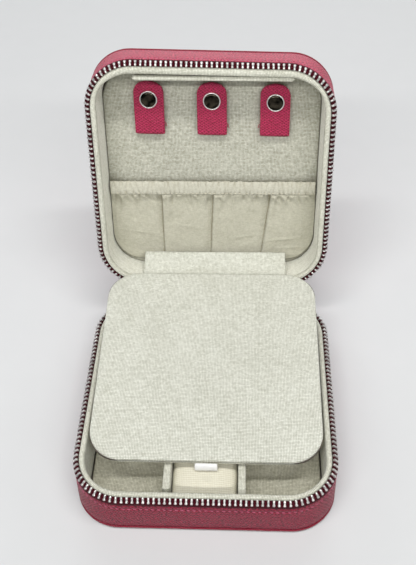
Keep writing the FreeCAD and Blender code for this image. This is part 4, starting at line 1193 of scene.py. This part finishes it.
# ------------------------------------------------------------------ stage, light, camera
fl = bpy.data.meshes.new("floor")
S_ = 1.1
fl.from_pydata([(-S_, -S_, -0.0003), (S_, -S_, -0.0003), (S_, S_, -0.0003), (-S_, S_, -0.0003)], [], [(0, 1, 2, 3)])
floor = bpy.data.objects.new("floor", fl)
bpy.context.scene.collection.objects.link(floor)
fn = Net("floor_paper")
g = fn.noise(fn.obj(), 60.0, 3.0)
fn.bump(g, 0.05, 0.0005)
fl.materials.append(fn.set(Base__Color=fn.mix(g, (0.615, 0.625, 0.63), (0.635, 0.645, 0.65)), Roughness=0.65, Specular__IOR__Level=0.2))

world = bpy.data.worlds.new("studio")
bpy.context.scene.world = world
world.use_nodes = True
wt = world.node_tree
bg = wt.nodes["Background"]
bg.inputs[0].default_value = (0.985, 0.99, 1.0, 1)
wc = wt.nodes.new("ShaderNodeTexCoord")
ws = wt.nodes.new("ShaderNodeSeparateXYZ")
wr = wt.nodes.new("ShaderNodeMapRange")
wt.links.new(wc.outputs["Generated"], ws.inputs[0])
wt.links.new(ws.outputs[2], wr.inputs[0])
for i, v in ((1, 0.28), (2, 0.75), (3, 0.54), (4, 0.075)):
    wr.inputs[i].default_value = v
wr.clamp = True
wt.links.new(wr.outputs[0], bg.inputs[1])


def area(name, loc, target, size, power, color=(1, 1, 1)):
    li = bpy.data.lights.new(name, "AREA")
    li.shape = "RECTANGLE"
    li.size, li.size_y = size
    li.energy = power
    li.color = color
    ob = bpy.data.objects.new(name, li)
    ob.location = loc
    ob.rotation_euler = (Vector(target) - Vector(loc)).to_track_quat("-Z", "Y").to_euler()
    bpy.context.scene.collection.objects.link(ob)
    return ob


area("front", (0.03, -1.40, 1.40), (0.0, 0.02, 0.05), (2.9, 0.11), 25.8, (1.0, 0.995, 0.985))
area("over", (0.02, -0.15, 0.93), (0.0, 0.02, 0.04), (0.9, 0.06), 5.7, (1.0, 0.997, 0.99))
area("back", (0.0, 1.9, 0.75), (0.0, 0.2, 0.02), (2.6, 1.0), 25.0, (0.98, 0.99, 1.0))

bpy.context.scene.view_settings.view_transform = "Standard"
bpy.context.scene.view_settings.look = "None"

cam_data = bpy.data.cameras.new("camera")
cam = bpy.data.objects.new("camera", cam_data)
bpy.context.scene.collection.objects.link(cam)
F_PX, PITCH, YAW, ROLL = 777.8, math.radians(46.914), math.radians(-3.848), math.radians(-2.243)
d = Vector((math.sin(YAW) * math.cos(PITCH), math.cos(YAW) * math.cos(PITCH), -math.sin(PITCH)))
r = Vector((math.cos(YAW), -math.sin(YAW), 0))
u = r.cross(d)
r2 = r * math.cos(ROLL) + u * math.sin(ROLL)
u2 = -r * math.sin(ROLL) + u * math.cos(ROLL)
rot = Matrix((r2, u2, -d)).transposed().to_4x4()
cam.matrix_world = Matrix.Translation((0.016087, -0.2094, 0.320509)) @ rot
cam_data.sensor_width = 36.0
cam_data.sensor_fit = "AUTO"
cam_data.lens = F_PX * 36.0 / 565.0
cam_data.clip_start = 0.01
bpy.context.scene.camera = cam

bpy.context.view_layer.update()
